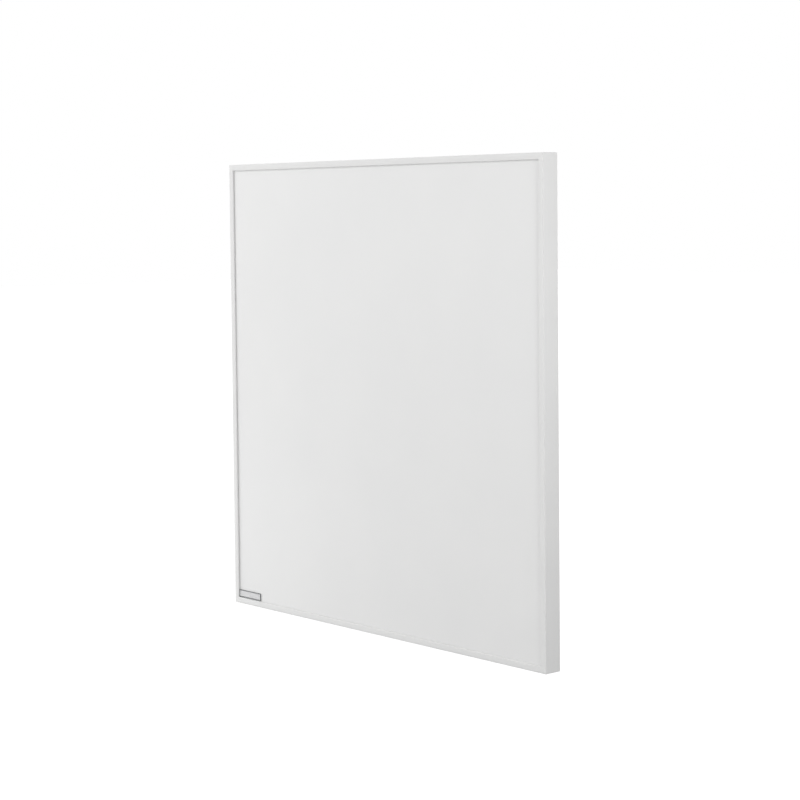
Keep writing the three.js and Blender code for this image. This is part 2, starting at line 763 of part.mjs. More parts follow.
// The hanger rail hooks behind the wall rail's hook; heights are about the wall rail's middle.
function hangerRail() {
  const front = seatDepth + railSheet / 2;
  const web = hangerTop - railSheet / 2;
  const hook = wallDepth - wallRailReach + railSheet + hookPlay + railSheet / 2;
  const foot = hangerTop - railSheet - hangerFlange;
  const corners = [[front, foot], [front, web], [hook, web], [hook, hangerTop - hangerHook]];
  const section = foldedStrip(corners, railSheet, railBend);
  const holes = [-1, 1].map((side) =>
    rod(rivetRadius + shankGap, 3 * railSheet)
      .translate(side * rivetSpread, seatDepth - railSheet, hangerMiddle));
  return carve(beam(section, hangerRailLength), holes);
}

function blindRivet() {
  const grip = rivetTail + coverThickness + railSheet + 2 * layerGap + restGap;
  return turned([
    [0, 0], [rivetTailRadius * 0.6, 0], [rivetTailRadius, rivetTail / 2],
    [rivetTailRadius * 0.8, rivetTail - layerGap], [rivetRadius, rivetTail],
    [rivetRadius, grip], [rivetHeadRadius, grip],
    [rivetHeadRadius * 0.7, grip + rivetHeadHeight], [0, grip + rivetHeadHeight],
  ], 12);
}

["upper", "lower"].forEach((level, i) => {
  const height = i === 0 ? railHeight : -railHeight;
  piece(`wall_rail_${level}`, wallRail(), finishes.zinc, root).position.z = height - railHeight;
  piece(`hanger_rail_${level}`, hangerRail(), finishes.zinc).position.z = height;
  [-1, 1].forEach((side, j) => {
    piece(`hanger_rivet_${level}_${j + 1}`, blindRivet(), finishes.aluminium)
      .position.set(side * rivetSpread, panDepth - layerGap - rivetTail, height + hangerMiddle);
  });
});

// Terminal box

// Places of the lid's two screws, in opposite corners, from the middle of the box.
const lidCorners = [-1, 1].map((side) =>
  [side * (boxWidth / 2 - lidBossInset), side * (boxHeight / 2 - lidBossInset)]);

function boxBase() {
  const shell = slab(roundedRect(boxWidth, boxHeight, boxCorner), boxDepth);
  const inside = roundedRect(boxWidth - 2 * boxWall, boxHeight - 2 * boxWall, boxCorner - boxWall);
  const hollow = slab(inside, boxDepth).translate(0, boxWall, 0);
  const bossHeight = boxDepth - boxWall - lidSkirt - restGap;
  const lidBosses = lidCorners.map(([x, z]) => rod(lidBossRadius, bossHeight + boxWall).translate(x, 0, z));
  const clampBosses = [-1, 1].map((side) =>
    rod(clampBossRadius, clampBossHeight + boxWall)
      .translate(side * clampSpread, 0, clampMiddle - boxMiddle));
  const saddle = new THREE.BoxGeometry(2 * clampSpread, clampSaddle, clampWidth)
    .translate(0, boxWall + clampSaddle / 2 - layerGap, clampMiddle - boxMiddle);
  const walls = carve(shell, [hollow]);
  const pilots = [
    ...lidCorners.map(([x, z]) => rod(screwRadius + shankGap, boxDepth).translate(x, boxWall, z)),
    ...[-1, 1].map((side) =>
      rod(screwRadius + shankGap, boxDepth)
        .translate(side * clampSpread, boxWall / 2, clampMiddle - boxMiddle)),
    ...[-1, 1].map((side) =>
      rod(screwRadius + shankGap, boxDepth)
        .translate(side * baseScrewSpread, -boxWall, boxHeight / 2 - baseScrewDrop)),
    rod(grommetLip + restGap, boxDepth, 16).translate(0, -boxWall, wireHeight - boxMiddle),
    rod(earthRadius + shankGap, boxDepth).translate(earthSpread, -boxWall, wireHeight - boxMiddle),
    rod(glandThreadRadius + shankGap, 3 * boxWall, 16).rotateX(Math.PI / 2)
      .translate(0, glandDepth - seatDepth, -boxHeight / 2 - boxWall),
  ];
  return carve(fuse([walls, ...lidBosses, ...clampBosses, saddle]), pilots);
}

function boxLid() {
  const cover = slab(roundedRect(boxWidth, boxHeight, boxCorner), lidThickness).translate(0, lidSkirt, 0);
  const inset = 2 * (boxWall + restGap);
  const skirt = slab(roundedRect(boxWidth - inset, boxHeight - inset, boxCorner - boxWall), lidSkirt);
  const bare = inset + 2 * boxWall;
  const window = slab(roundedRect(boxWidth - bare, boxHeight - bare, boxCorner - boxWall), 2 * lidSkirt)
    .translate(0, -lidSkirt, 0);
  const holes = lidCorners.map(([x, z]) =>
    rod(screwRadius + shankGap, 4 * lidThickness).translate(x, -lidThickness, z));
  const glandNotch = new THREE.BoxGeometry(3 * locknutHex, 2 * lidSkirt, 8 * boxWall)
    .translate(0, 0, -boxHeight / 2);
  return carve(fuse([cover, carve(skirt, [window, glandNotch])]), holes);
}

piece("terminal_box_base", boxBase(), finishes.housing).position.set(0, seatDepth, boxMiddle);
const lidDepth = boxRim + layerGap;
piece("terminal_box_lid", boxLid(), finishes.housing).position.set(0, lidDepth - lidSkirt, boxMiddle);
lidCorners.forEach(([x, z], i) => {
  piece(`lid_screw_${i + 1}`, screw(lidScrewLength), finishes.zinc)
    .position.set(x, lidDepth + lidThickness + layerGap, boxMiddle + z);
});
[-1, 1].forEach((side, i) => {
  piece(`base_screw_${i + 1}`, screw(baseScrewLength), finishes.zinc)
    .position.set(side * baseScrewSpread, boxFloor + layerGap, boxTop - baseScrewDrop);
});

// Three-pole block: each pole has a wire way along Z and two screw wells from the rear.
function terminalBlock() {
  const block = slab(roundedRect(blockLength, blockHeight, edgeGap), blockDepth, 1);
  const wireWays = [-1, 0, 1].map((pole) =>
    rod(poleRadius, 2 * blockHeight, 10).rotateX(Math.PI / 2)
      .translate(pole * polePitch, blockDepth / 2, -blockHeight));
  const wells = [-1, 0, 1].flatMap((pole) => [-1, 1].map((row) =>
    rod(poleScrewRadius, blockDepth, 8)
      .translate(pole * polePitch, blockDepth * 0.6, row * blockHeight / 4)));
  return carve(block, [...wireWays, ...wells]);
}

piece("terminal_block", terminalBlock(), finishes.ceramic).position.set(0, boxFloor + layerGap, blockMiddle);

// Earth stud through the box and the cover, with its nut, and the lead from its tag to the last pole
function earthStud() {
  const length = boxFloor - panDepth + studFoot + layerGap + earthTagThickness + layerGap;
  const stud = rod(earthRadius, length + earthNutHeight + 1);
  const nut = hexBar(earthNutRadius, earthNutHeight).translate(0, length, 0);
  const head = rod(earthNutRadius, studFoot - layerGap);
  return fuse([stud, nut, head]);
}

piece("earth_stud", earthStud(), finishes.brass).position.set(earthSpread, panDepth - studFoot, wireHeight);

function earthLead() {
  const ring = rod(earthTagRadius, earthTagThickness, 16);
  const tongue = new THREE.BoxGeometry(earthTagReach, earthTagThickness, 2 * wireRadius)
    .translate(-earthTagReach / 2, earthTagThickness / 2, 0);
  const hole = rod(earthRadius + shankGap, 3 * earthTagThickness).translate(0, -earthTagThickness, 0);
  const tag = carve(fuse([ring, tongue]), [hole]).translate(earthSpread, boxFloor + layerGap, wireHeight);
  const start = boxFloor + layerGap + wireRadius;
  const blockTop = blockMiddle + blockHeight / 2;
  const lead = wire([
    [earthSpread - earthTagReach + wireRadius, start, wireHeight],
    [polePitch, start, wireHeight - wireBend / 2],
    [polePitch, poleDepth, blockTop + wireBend / 2],
    [polePitch, poleDepth, blockTop - wireEntry],
  ], wireRadius, wireBend / 4);
  return fuse([tag, lead]);
}

piece("earth_lead", earthLead(), finishes.earthSleeve);

// Cord clamp: a strap bent over the cord, screwed to the two bosses
function cordClamp() {
  const foot = clampSpread + clampFoot;
  const arch = glandAxis - boxWall - clampBossHeight - layerGap; // feet up to the cord's middle
  const inner = cordRadius + layerGap;
  const outer = inner + clampSheet;
  const outline = new THREE.Shape()
    .moveTo(-foot, 0)
    .lineTo(-inner, 0)
    .lineTo(-inner, arch)
    .absarc(0, arch, inner, Math.PI, 0, true)
    .lineTo(inner, 0)
    .lineTo(foot, 0)
    .lineTo(foot, clampSheet)
    .lineTo(outer, clampSheet)
    .lineTo(outer, arch)
    .absarc(0, arch, outer, 0, Math.PI)
    .lineTo(-outer, clampSheet)
    .lineTo(-foot, clampSheet);
  const options = { depth: clampWidth, bevelEnabled: false, curveSegments: 6 };
  const strap = new THREE.ExtrudeGeometry(outline, options).translate(0, 0, -clampWidth / 2);
  const holes = [-1, 1].map((side) =>
    rod(screwRadius + shankGap, 4 * clampSheet).translate(side * clampSpread, -clampSheet, 0));
  return carve(strap, holes);
}

const clampDepth = boxFloor + clampBossHeight + layerGap;
piece("cord_clamp", cordClamp(), finishes.zinc).position.set(0, clampDepth, clampMiddle);
[-1, 1].forEach((side, i) => {
  piece(`clamp_screw_${i + 1}`, screw(clampScrewLength), finishes.zinc)
    .position.set(side * clampSpread, clampDepth + clampSheet + layerGap, clampMiddle);
});

// Cord gland: body through the box's bottom wall, locknut inside, dome nut outside. Its axis is Z.

// A piece that is modelled along Y, from 0 upwards, turned so that it runs down from z = 0.
const downwards = (geometry) => geometry.rotateX(-Math.PI / 2);

function glandBody() {
  const outside = boxWall + glandThread;
  const body = fuse([
    rod(glandThreadRadius, outside + restGap + glandHexHeight, 16),
    hexBar(glandHex, glandHexHeight).translate(0, outside + restGap, 0),
  ]);
  const bore = rod(glandBore, 2 * (outside + glandHexHeight), 16).translate(0, -1, 0);
  return downwards(carve(body, [bore]));
}

function glandNut() {
  const top = glandNutHeight;
  return downwards(turned([
    [glandBore, 0], [glandNutRadius, 0], [glandNutRadius, top * 0.6], [glandNutRadius * 0.9, top * 0.8],
    [glandNutRadius * 0.72, top], [glandBore, top], [glandBore, 0],
  ]));
}

function locknut() {
  const ring = rod(glandThreadRadius + shankGap, 3 * locknutHeight, 16).translate(0, -locknutHeight, 0);
  return downwards(carve(hexBar(locknutHex, locknutHeight), [ring]));
}

const glandTop = boxBottom + boxWall + glandThread;
piece("gland_body", glandBody(), finishes.housing).position.set(0, glandDepth, glandTop);
piece("gland_dome_nut", glandNut(), finishes.housing)
  .position.set(0, glandDepth, boxBottom - restGap - glandHexHeight - layerGap);
piece("gland_locknut", locknut(), finishes.housing)
  .position.set(0, glandDepth, boxBottom + boxWall + layerGap + locknutHeight);

export default root;
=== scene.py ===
# Infrared panel heater: finishes, detailed pieces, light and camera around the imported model.
import json
import math

import bmesh
import bpy
from mathutils import Matrix, Vector
from mathutils.geometry import tessellate_polygon


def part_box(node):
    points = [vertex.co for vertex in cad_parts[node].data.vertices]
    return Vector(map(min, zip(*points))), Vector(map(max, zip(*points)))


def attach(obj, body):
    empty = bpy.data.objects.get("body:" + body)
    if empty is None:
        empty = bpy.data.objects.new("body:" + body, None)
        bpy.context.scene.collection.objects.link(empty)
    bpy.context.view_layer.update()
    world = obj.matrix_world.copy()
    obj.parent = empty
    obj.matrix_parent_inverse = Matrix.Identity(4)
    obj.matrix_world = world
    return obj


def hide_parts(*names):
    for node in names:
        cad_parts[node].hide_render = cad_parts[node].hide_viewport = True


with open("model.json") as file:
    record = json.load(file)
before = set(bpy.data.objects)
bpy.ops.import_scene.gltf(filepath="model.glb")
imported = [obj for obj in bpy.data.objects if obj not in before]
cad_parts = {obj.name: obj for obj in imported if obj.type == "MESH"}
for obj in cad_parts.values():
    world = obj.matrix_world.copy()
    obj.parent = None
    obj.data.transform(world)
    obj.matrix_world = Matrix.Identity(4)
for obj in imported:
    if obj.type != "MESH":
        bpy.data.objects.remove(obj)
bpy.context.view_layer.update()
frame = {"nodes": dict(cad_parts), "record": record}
nodes = frame["nodes"]
mm = 0.001

panel = {
    "width": 595 * mm,
    "height": 595 * mm,
    "depth": 23 * mm,
    "front": -43 * mm,  # y of the lip's face
    "middle": -170 * mm,  # z of the panel's middle
}


# The photograph's view, fitted to the corners of the panel's face.
shot = {
    "place": (1.8855, -1.6034, 0.2301),  # from the middle of the panel's face
    "heading": 48.86,  # degrees from the wall's normal
    "tilt": -3.06,
    "roll": -0.57,
    "lens": 89.7,
    "sensor": 36,
    "shift": -0.10,
    "reach": 60,  # metres, past the floor's far end
}


def addCamera():
    data = bpy.data.cameras.new("photoCamera")
    data.lens = shot["lens"]
    data.sensor_width = shot["sensor"]
    data.shift_y = shot["shift"]
    data.clip_end = shot["reach"]
    camera = bpy.data.objects.new("photoCamera", data)
    turn = Matrix.Rotation(math.radians(shot["heading"]), 4, "Z")
    tilt = Matrix.Rotation(math.radians(90 + shot["tilt"]), 4, "X")
    roll = Matrix.Rotation(math.radians(shot["roll"]), 4, "Z")
    place = Vector(shot["place"]) + Vector((0, panel["front"], panel["middle"]))
    camera.matrix_world = Matrix.Translation(place) @ turn @ tilt @ roll
    bpy.context.scene.collection.objects.link(camera)
    bpy.context.scene.camera = camera


addCamera()
print("camera set")


def newFinish(name, color, roughness, metallic=0.0):
    finish = bpy.data.materials.new(name)
    finish.use_nodes = True
    shader = finish.node_tree.nodes["Principled BSDF"]
    shader.inputs["Base Color"].default_value = (*color, 1)
    shader.inputs["Roughness"].default_value = roughness
    shader.inputs["Metallic"].default_value = metallic
    return finish, finish.node_tree, shader


def addNode(tree, kind, settings=None, **sockets):
    node = tree.nodes.new(kind)
    for key, value in (settings or {}).items():
        setattr(node, key, value)
    for key, value in sockets.items():
        node.inputs[key].default_value = value
    return node


def pieceCoordinates(tree, stretch=(1, 1, 1)):
    place = tree.nodes.new("ShaderNodeTexCoord")
    mapping = addNode(tree, "ShaderNodeMapping", Scale=stretch)
    tree.links.new(place.outputs["Object"], mapping.inputs["Vector"])
    return mapping.outputs["Vector"]


def noise(tree, place, scale, detail=3.0, roughness=0.5):
    node = addNode(tree, "ShaderNodeTexNoise", Scale=scale, Detail=detail, Roughness=roughness)
    tree.links.new(place, node.inputs["Vector"])
    return node.outputs["Fac"]


# Feeds a socket with the source, drawn out between two values.
def spread(tree, source, low, high, socket, start=0.3, end=0.7):
    node = tree.nodes.new("ShaderNodeMapRange")
    node.inputs["From Min"].default_value = start
    node.inputs["From Max"].default_value = end
    node.inputs["To Min"].default_value = low
    node.inputs["To Max"].default_value = high
    tree.links.new(source, node.inputs["Value"])
    tree.links.new(node.outputs["Result"], socket)


def blendColors(tree, source, low, high, socket, start=0.3, end=0.7):
    ramp = tree.nodes.new("ShaderNodeValToRGB")
    ramp.color_ramp.elements[0].position = start
    ramp.color_ramp.elements[0].color = (*low, 1)
    ramp.color_ramp.elements[1].position = end
    ramp.color_ramp.elements[1].color = (*high, 1)
    tree.links.new(source, ramp.inputs["Fac"])
    tree.links.new(ramp.outputs["Color"], socket)


# Stacks bumps, each a source and its height in metres.
def bump(tree, shader, *layers):
    below = None
    for source, height in layers:
        node = addNode(tree, "ShaderNodeBump", Strength=1.0, Distance=height)
        tree.links.new(source, node.inputs["Height"])
        if below:
            tree.links.new(below.outputs["Normal"], node.inputs["Normal"])
        below = node
    tree.links.new(below.outputs["Normal"], shader.inputs["Normal"])


def powderCoat():
    finish, tree, shader = newFinish("whitePowderCoat", (0.80, 0.80, 0.795), 0.42)
    place = pieceCoordinates(tree)
    clouds = noise(tree, place, 14, 4)
    peel = noise(tree, place, 900, 2)
    grain = noise(tree, place, 4200, 2)
    blendColors(tree, clouds, (0.792, 0.793, 0.790), (0.812, 0.812, 0.807), shader.inputs["Base Color"])
    shader.inputs["Specular IOR Level"].default_value = 0.25
    spread(tree, peel, 0.46, 0.56, shader.inputs["Roughness"])
    bump(tree, shader, (peel, 0.000018), (grain, 0.000006))
    return finish


def plateEnamel():
    finish, tree, shader = newFinish("plateEnamel", (0.82, 0.82, 0.815), 0.5)
    place = pieceCoordinates(tree)
    clouds = noise(tree, place, 9, 5)
    peel = noise(tree, place, 1300, 2)
    grain = noise(tree, place, 5200, 2)
    blendColors(tree, clouds, (0.812, 0.813, 0.811), (0.830, 0.830, 0.826), shader.inputs["Base Color"])
    spread(tree, peel, 0.46, 0.56, shader.inputs["Roughness"])
    bump(tree, shader, (peel, 0.000012), (grain, 0.000006))
    return finish


def brushedBadge():
    finish, tree, shader = newFinish("brushedBadge", (0.43, 0.43, 0.435), 0.38, 0.75)
    strokes = noise(tree, pieceCoordinates(tree, (1, 1, 60)), 90, 5, 0.65)
    fine = noise(tree, pieceCoordinates(tree, (1, 1, 90)), 260, 4, 0.7)
    blendColors(tree, strokes, (0.37, 0.37, 0.375), (0.49, 0.49, 0.495), shader.inputs["Base Color"])
    spread(tree, fine, 0.30, 0.50, shader.inputs["Roughness"])
    bump(tree, shader, (fine, 0.000006))
    return finish


def bezelSatin():
    finish, tree, shader = newFinish("bezelSatin", (0.16, 0.164, 0.168), 0.42, 0.4)
    grain = noise(tree, pieceCoordinates(tree), 2600, 3)
    spread(tree, grain, 0.36, 0.52, shader.inputs["Roughness"])
    blendColors(tree, grain, (0.145, 0.149, 0.153), (0.18, 0.184, 0.188), shader.inputs["Base Color"])
    bump(tree, shader, (grain, 0.000006))
    return finish


def foamRubber():
    finish, tree, shader = newFinish("foamRubber", (0.64, 0.64, 0.635), 0.95)
    place = pieceCoordinates(tree)
    pores = addNode(tree, "ShaderNodeTexVoronoi", Scale=2200.0)
    tree.links.new(place, pores.inputs["Vector"])
    blendColors(tree, pores.outputs["Distance"], (0.58, 0.58, 0.575), (0.70, 0.70, 0.695),
                shader.inputs["Base Color"], 0.1, 0.6)
    bump(tree, shader, (pores.outputs["Distance"], 0.00015))
    return finish


def galvanised():
    finish, tree, shader = newFinish("galvanisedSheet", (0.5, 0.51, 0.52), 0.45, 1.0)
    place = pieceCoordinates(tree)
    wobble = noise(tree, place, 60, 3)
    spangle = addNode(tree, "ShaderNodeTexVoronoi", Scale=190.0, Randomness=1.0)
    tree.links.new(place, spangle.inputs["Vector"])
    shade = tree.nodes.new("ShaderNodeSeparateColor")
    tree.links.new(spangle.outputs["Color"], shade.inputs["Color"])
    blendColors(tree, shade.outputs["Red"], (0.50, 0.51, 0.52), (0.55, 0.555, 0.56),
                shader.inputs["Base Color"], 0.0, 1.0)
    spread(tree, shade.outputs["Green"], 0.40, 0.52, shader.inputs["Roughness"], 0.0, 1.0)
    scratches = noise(tree, pieceCoordinates(tree, (1, 1, 14)), 300, 4, 0.7)
    bump(tree, shader, (wobble, 0.00004), (scratches, 0.000004))
    return finish


def zincPlate():
    finish, tree, shader = newFinish("zincPlate", (0.62, 0.63, 0.64), 0.32, 1.0)
    place = pieceCoordinates(tree)
    smudge = noise(tree, place, 240, 4)
    grain = noise(tree, place, 3000, 2)
    blendColors(tree, smudge, (0.56, 0.575, 0.60), (0.68, 0.68, 0.67), shader.inputs["Base Color"])
    spread(tree, smudge, 0.24, 0.42, shader.inputs["Roughness"])
    bump(tree, shader, (grain, 0.000006))
    return finish


def turnedMetal(name, low, high):
    finish, tree, shader = newFinish(name, high, 0.3, 1.0)
    place = pieceCoordinates(tree)
    tarnish = noise(tree, place, 380, 4)
    rings = noise(tree, pieceCoordinates(tree, (1, 40, 1)), 500, 3)
    blendColors(tree, tarnish, low, high, shader.inputs["Base Color"])
    spread(tree, rings, 0.24, 0.4, shader.inputs["Roughness"])
    bump(tree, shader, (rings, 0.000006))
    return finish


def mouldedPlastic():
    finish, tree, shader = newFinish("blackPlastic", (0.018, 0.019, 0.02), 0.5)
    place = pieceCoordinates(tree)
    spark = noise(tree, place, 2600, 4, 0.6)
    clouds = noise(tree, place, 40, 3)
    blendColors(tree, clouds, (0.016, 0.017, 0.018), (0.024, 0.025, 0.026), shader.inputs["Base Color"])
    spread(tree, spark, 0.42, 0.6, shader.inputs["Roughness"])
    bump(tree, shader, (spark, 0.00003))
    return finish


def smoothRubber():
    finish, tree, shader = newFinish("grommetRubber", (0.012, 0.012, 0.013), 0.6)
    place = pieceCoordinates(tree)
    bloom = noise(tree, place, 300, 4)
    blendColors(tree, bloom, (0.010, 0.010, 0.011), (0.020, 0.020, 0.021), shader.inputs["Base Color"])
    spread(tree, bloom, 0.5, 0.72, shader.inputs["Roughness"])
    bump(tree, shader, (noise(tree, place, 1500, 2), 0.00001))
    return finish


def micaSheet():
    finish, tree, shader = newFinish("micaSheet", (0.42, 0.35, 0.24), 0.5)
    place = pieceCoordinates(tree)
    flakes = addNode(tree, "ShaderNodeTexVoronoi", Scale=160.0)
    tree.links.new(place, flakes.inputs["Vector"])
    blendColors(tree, flakes.outputs["Distance"], (0.34, 0.28, 0.18), (0.50, 0.43, 0.30),
                shader.inputs["Base Color"], 0.05, 0.7)
    spread(tree, flakes.outputs["Distance"], 0.35, 0.6, shader.inputs["Roughness"], 0.05, 0.7)
    bump(tree, shader, (flakes.outputs["Distance"], 0.00002))
    return finish


def rolledTrack():
    finish, tree, shader = newFinish("rolledTrack", (0.12, 0.125, 0.13), 0.4, 1.0)
    rolling = noise(tree, pieceCoordinates(tree, (30, 1, 1)), 160, 4)
    blendColors(tree, rolling, (0.10, 0.10, 0.105), (0.17, 0.175, 0.18), shader.inputs["Base Color"])
    spread(tree, rolling, 0.3, 0.5, shader.inputs["Roughness"])
    bump(tree, shader, (rolling, 0.000004))
    return finish


def crinkledFoil():
    finish, tree, shader = newFinish("reflectorFoil", (0.78, 0.79, 0.80), 0.22, 1.0)
    place = pieceCoordinates(tree)
    crinkle = noise(tree, place, 45, 6, 0.6)
    blendColors(tree, crinkle, (0.72, 0.73, 0.74), (0.84, 0.85, 0.86), shader.inputs["Base Color"])
    spread(tree, crinkle, 0.16, 0.3, shader.inputs["Roughness"])
    bump(tree, shader, (crinkle, 0.0002))
    return finish


def fibreBoard():
    finish, tree, shader = newFinish("fibreBoard", (0.72, 0.67, 0.56), 0.95)
    fibres = noise(tree, pieceCoordinates(tree, (1, 1, 6)), 420, 6, 0.7)
    blendColors(tree, fibres, (0.62, 0.57, 0.46), (0.78, 0.73, 0.63), shader.inputs["Base Color"])
    spread(tree, fibres, 0.85, 1.0, shader.inputs["Roughness"])
    bump(tree, shader, (fibres, 0.0003))
    return finish


def steatite():
    finish, tree, shader = newFinish("steatite", (0.76, 0.72, 0.62), 0.5)
    place = pieceCoordinates(tree)
    grain = noise(tree, place, 1400, 4)
    blendColors(tree, grain, (0.72, 0.68, 0.58), (0.80, 0.77, 0.69), shader.inputs["Base Color"])
    spread(tree, grain, 0.4, 0.65, shader.inputs["Roughness"])
    bump(tree, shader, (grain, 0.00002))
    return finish


def siliconeSleeve(name, low, high, stripe=None):
    finish, tree, shader = newFinish(name, high, 0.5)
    place = pieceCoordinates(tree)
    dust = noise(tree, place, 800, 3)
    if stripe:
        bands = addNode(tree, "ShaderNodeTexWave", {"wave_type": "BANDS"}, Scale=60.0, Distortion=0.0)
        tree.links.new(pieceCoordinates(tree, (1, 1, 0.5)), bands.inputs["Vector"])
        blendColors(tree, bands.outputs["Fac"], low, stripe, shader.inputs["Base Color"], 0.48, 0.52)
    else:
        blendColors(tree, dust, low, high, shader.inputs["Base Color"])
    spread(tree, dust, 0.42, 0.6, shader.inputs["Roughness"])
    bump(tree, shader, (dust, 0.00001))
    return finish


finishes = {
    "white_frame": powderCoat(),
    "white_plate": plateEnamel(),
    "pale_gasket": foamRubber(),
    "brushed_badge": brushedBadge(),
    "grey_bezel": bezelSatin(),
    "zinc_steel": zincPlate(),
    "galvanised_sheet": galvanised(),
    "rivet_aluminium": turnedMetal("rivetAluminium", (0.58, 0.59, 0.60), (0.72, 0.73, 0.74)),
    "brass": turnedMetal("turnedBrass", (0.50, 0.33, 0.10), (0.66, 0.47, 0.18)),
    "mica": micaSheet(),
    "track_alloy": rolledTrack(),
    "foil": crinkledFoil(),
    "mineral_board": fibreBoard(),
    "black_plastic": mouldedPlastic(),
    "grommet_rubber": smoothRubber(),
    "white_ceramic": steatite(),
    "wire_sleeve": siliconeSleeve("leadSleeve", (0.64, 0.60, 0.52), (0.74, 0.70, 0.62)),
    "earth_sleeve": siliconeSleeve("earthSleeve", (0.05, 0.26, 0.05), (0.6, 0.6, 0.05), (0.72, 0.62, 0.03)),
}


# Every CAD node takes the finish of its slot, whether or not a detailed piece stands for it later.
def dressNodes():
    for part in frame["record"]["subparts"]:
        mesh = nodes[part["node"]].data
        mesh.materials.clear()
        mesh.materials.append(finishes[part["material_slot"]])


dressNodes()
slotOf = {part["node"]: part["material_slot"] for part in frame["record"]["subparts"]}
print("finishes on", len(nodes), "nodes")


# Turns a bmesh into the piece that stands for one CAD node.
def finishPiece(name, bm, node, body="heater", smooth=35, bevel=0.0):
    bmesh.ops.remove_doubles(bm, verts=bm.verts, dist=1e-7)
    bmesh.ops.recalc_face_normals(bm, faces=bm.faces)
    mesh = bpy.data.meshes.new(name)
    for face in bm.faces:
        face.smooth = True
    for edge in bm.edges:
        edge.smooth = edge.calc_face_angle(0) < math.radians(smooth)
    bm.to_mesh(mesh)
    bm.free()
    piece = bpy.data.objects.new(name, mesh)
    bpy.context.scene.collection.objects.link(piece)
    mesh.materials.append(finishes[slotOf[node]])
    if bevel:
        roundEdges(piece, bevel)
    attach(piece, body)
    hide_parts(node)


def roundEdges(piece, width, steps=3, angle=30):
    modifier = piece.modifiers.new("edges", "BEVEL")
    modifier.width = width
    modifier.segments = steps
    modifier.limit_method = "ANGLE"
    modifier.angle_limit = math.radians(angle)
    modifier.harden_normals = True
    for edge in piece.data.edges:
        edge.use_edge_sharp = False


# Cuts closed bmeshes out of another with an exact boolean.
def cutWith(bm, cutters):
    works = []
    for source in [bm, *cutters]:
        mesh = bpy.data.meshes.new("work")
        bmesh.ops.recalc_face_normals(source, faces=source.faces)
        source.to_mesh(mesh)
        source.free()
        work = bpy.data.objects.new("work", mesh)
        bpy.context.scene.collection.objects.link(work)
        works.append(work)
    body, *tools = works
    for tool in tools:
        modifier = body.modifiers.new("cut", "BOOLEAN")
        modifier.operation = "DIFFERENCE"
        modifier.solver = "EXACT"
        modifier.object = tool
    bpy.context.view_layer.update()
    ready = body.evaluated_get(bpy.context.evaluated_depsgraph_get())
    cut = bmesh.new()
    cut.from_mesh(ready.to_mesh())
    ready.to_mesh_clear()
    for work in works:
        mesh = work.data
        bpy.data.objects.remove(work)
        bpy.data.meshes.remove(mesh)
    return cut


# One bmesh of several closed ones that don't touch.
def joined(parts):
    whole = bmesh.new()
    for part in parts:
        mesh = bpy.data.meshes.new("work")
        part.to_mesh(mesh)
        part.free()
        whole.from_mesh(mesh)
        bpy.data.meshes.remove(mesh)
    return whole


# Quads between loops of as many points each; the end loops are closed, or joined to each other.
def stackLoops(loops, wrap=False):
    bm = bmesh.new()
    rows = [[bm.verts.new(point) for point in loop] for loop in loops]
    pairs = list(zip(rows, rows[1:] + rows[:1])) if wrap else list(zip(rows, rows[1:]))
    for low, high in pairs:
        for i in range(len(low)):
            j = (i + 1) % len(low)
            bm.faces.new((low[i], low[j], high[j], high[i]))
    if not wrap:
        bm.faces.new(rows[0])
        bm.faces.new(rows[-1])
    return bm


# Points round a rounded rectangle as (x, z), from its right side on.
def roundedRect(width, height, radius, steps=6):
    points = []
    for quarter in range(4):
        sx = 1 if quarter in (0, 3) else -1
        sz = 1 if quarter in (0, 1) else -1
        for step in range(steps + 1):
            angle = math.pi / 2 * (quarter + step / steps)
            x = sx * (width / 2 - radius) + radius * math.cos(angle)
            z = sz * (height / 2 - radius) + radius * math.sin(angle)
            points.append((x, z))
    return points


def plateLoop(width, height, radius, y, middle=(0, 0), steps=6):
    return [Vector((middle[0] + x, y, middle[1] + z)) for x, z in roundedRect(width, height, radius, steps)]


# A closed outline with its corners rounded; each corner is (x, y, radius).
def filleted(corners, steps=4):
    outline = []
    count = len(corners)
    for i, (x, y, radius) in enumerate(corners):
        corner = Vector((x, y))
        if not radius:
            outline.append(corner)
            continue
        before = (Vector(corners[i - 1][:2]) - corner).normalized()
        after = (Vector(corners[(i + 1) % count][:2]) - corner).normalized()
        half = math.acos(max(-1, min(1, before.dot(after)))) / 2
        start = corner + before * radius / math.tan(half)
        end = corner + after * radius / math.tan(half)
        centre = corner + (before + after).normalized() * radius / math.sin(half)
        first, last = start - centre, end - centre
        sweep = first.angle_signed(last)
        for step in range(steps + 1):
            turn = -sweep * step / steps
            across = first.x * math.cos(turn) - first.y * math.sin(turn)
            up = first.x * math.sin(turn) + first.y * math.cos(turn)
            outline.append(centre + Vector((across, up)))
    return outline


# Loops of a form turned about Y: profile of (radius, y) pairs; ripple changes a radius by its angle.
def turned(profile, centre=(0, 0, 0), steps=32, ripple=None):
    loops = []
    for radius, y in profile:
        loop = []
        for i in range(steps):
            angle = 2 * math.pi * i / steps
            r = ripple(radius, y, angle) if ripple else radius
            x = centre[0] + r * math.sin(angle)
            z = centre[2] + r * math.cos(angle)
            loop.append(Vector((x, centre[1] + y, z)))
        loops.append(loop)
    return loops


# A plain round bar along Y.
def rod(radius, start, end, x, z, steps=24):
    return stackLoops(turned([(radius, start), (radius, end)], (x, 0, z), steps))


def middleOf(node):
    low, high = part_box(node)
    return (low + high) / 2


def plainBox(low, high):
    bm = bmesh.new()
    bmesh.ops.create_cube(bm, size=1)
    for vert in bm.verts:
        for axis in range(3):
            vert.co[axis] = low[axis] if vert.co[axis] < 0 else high[axis]
    return bm


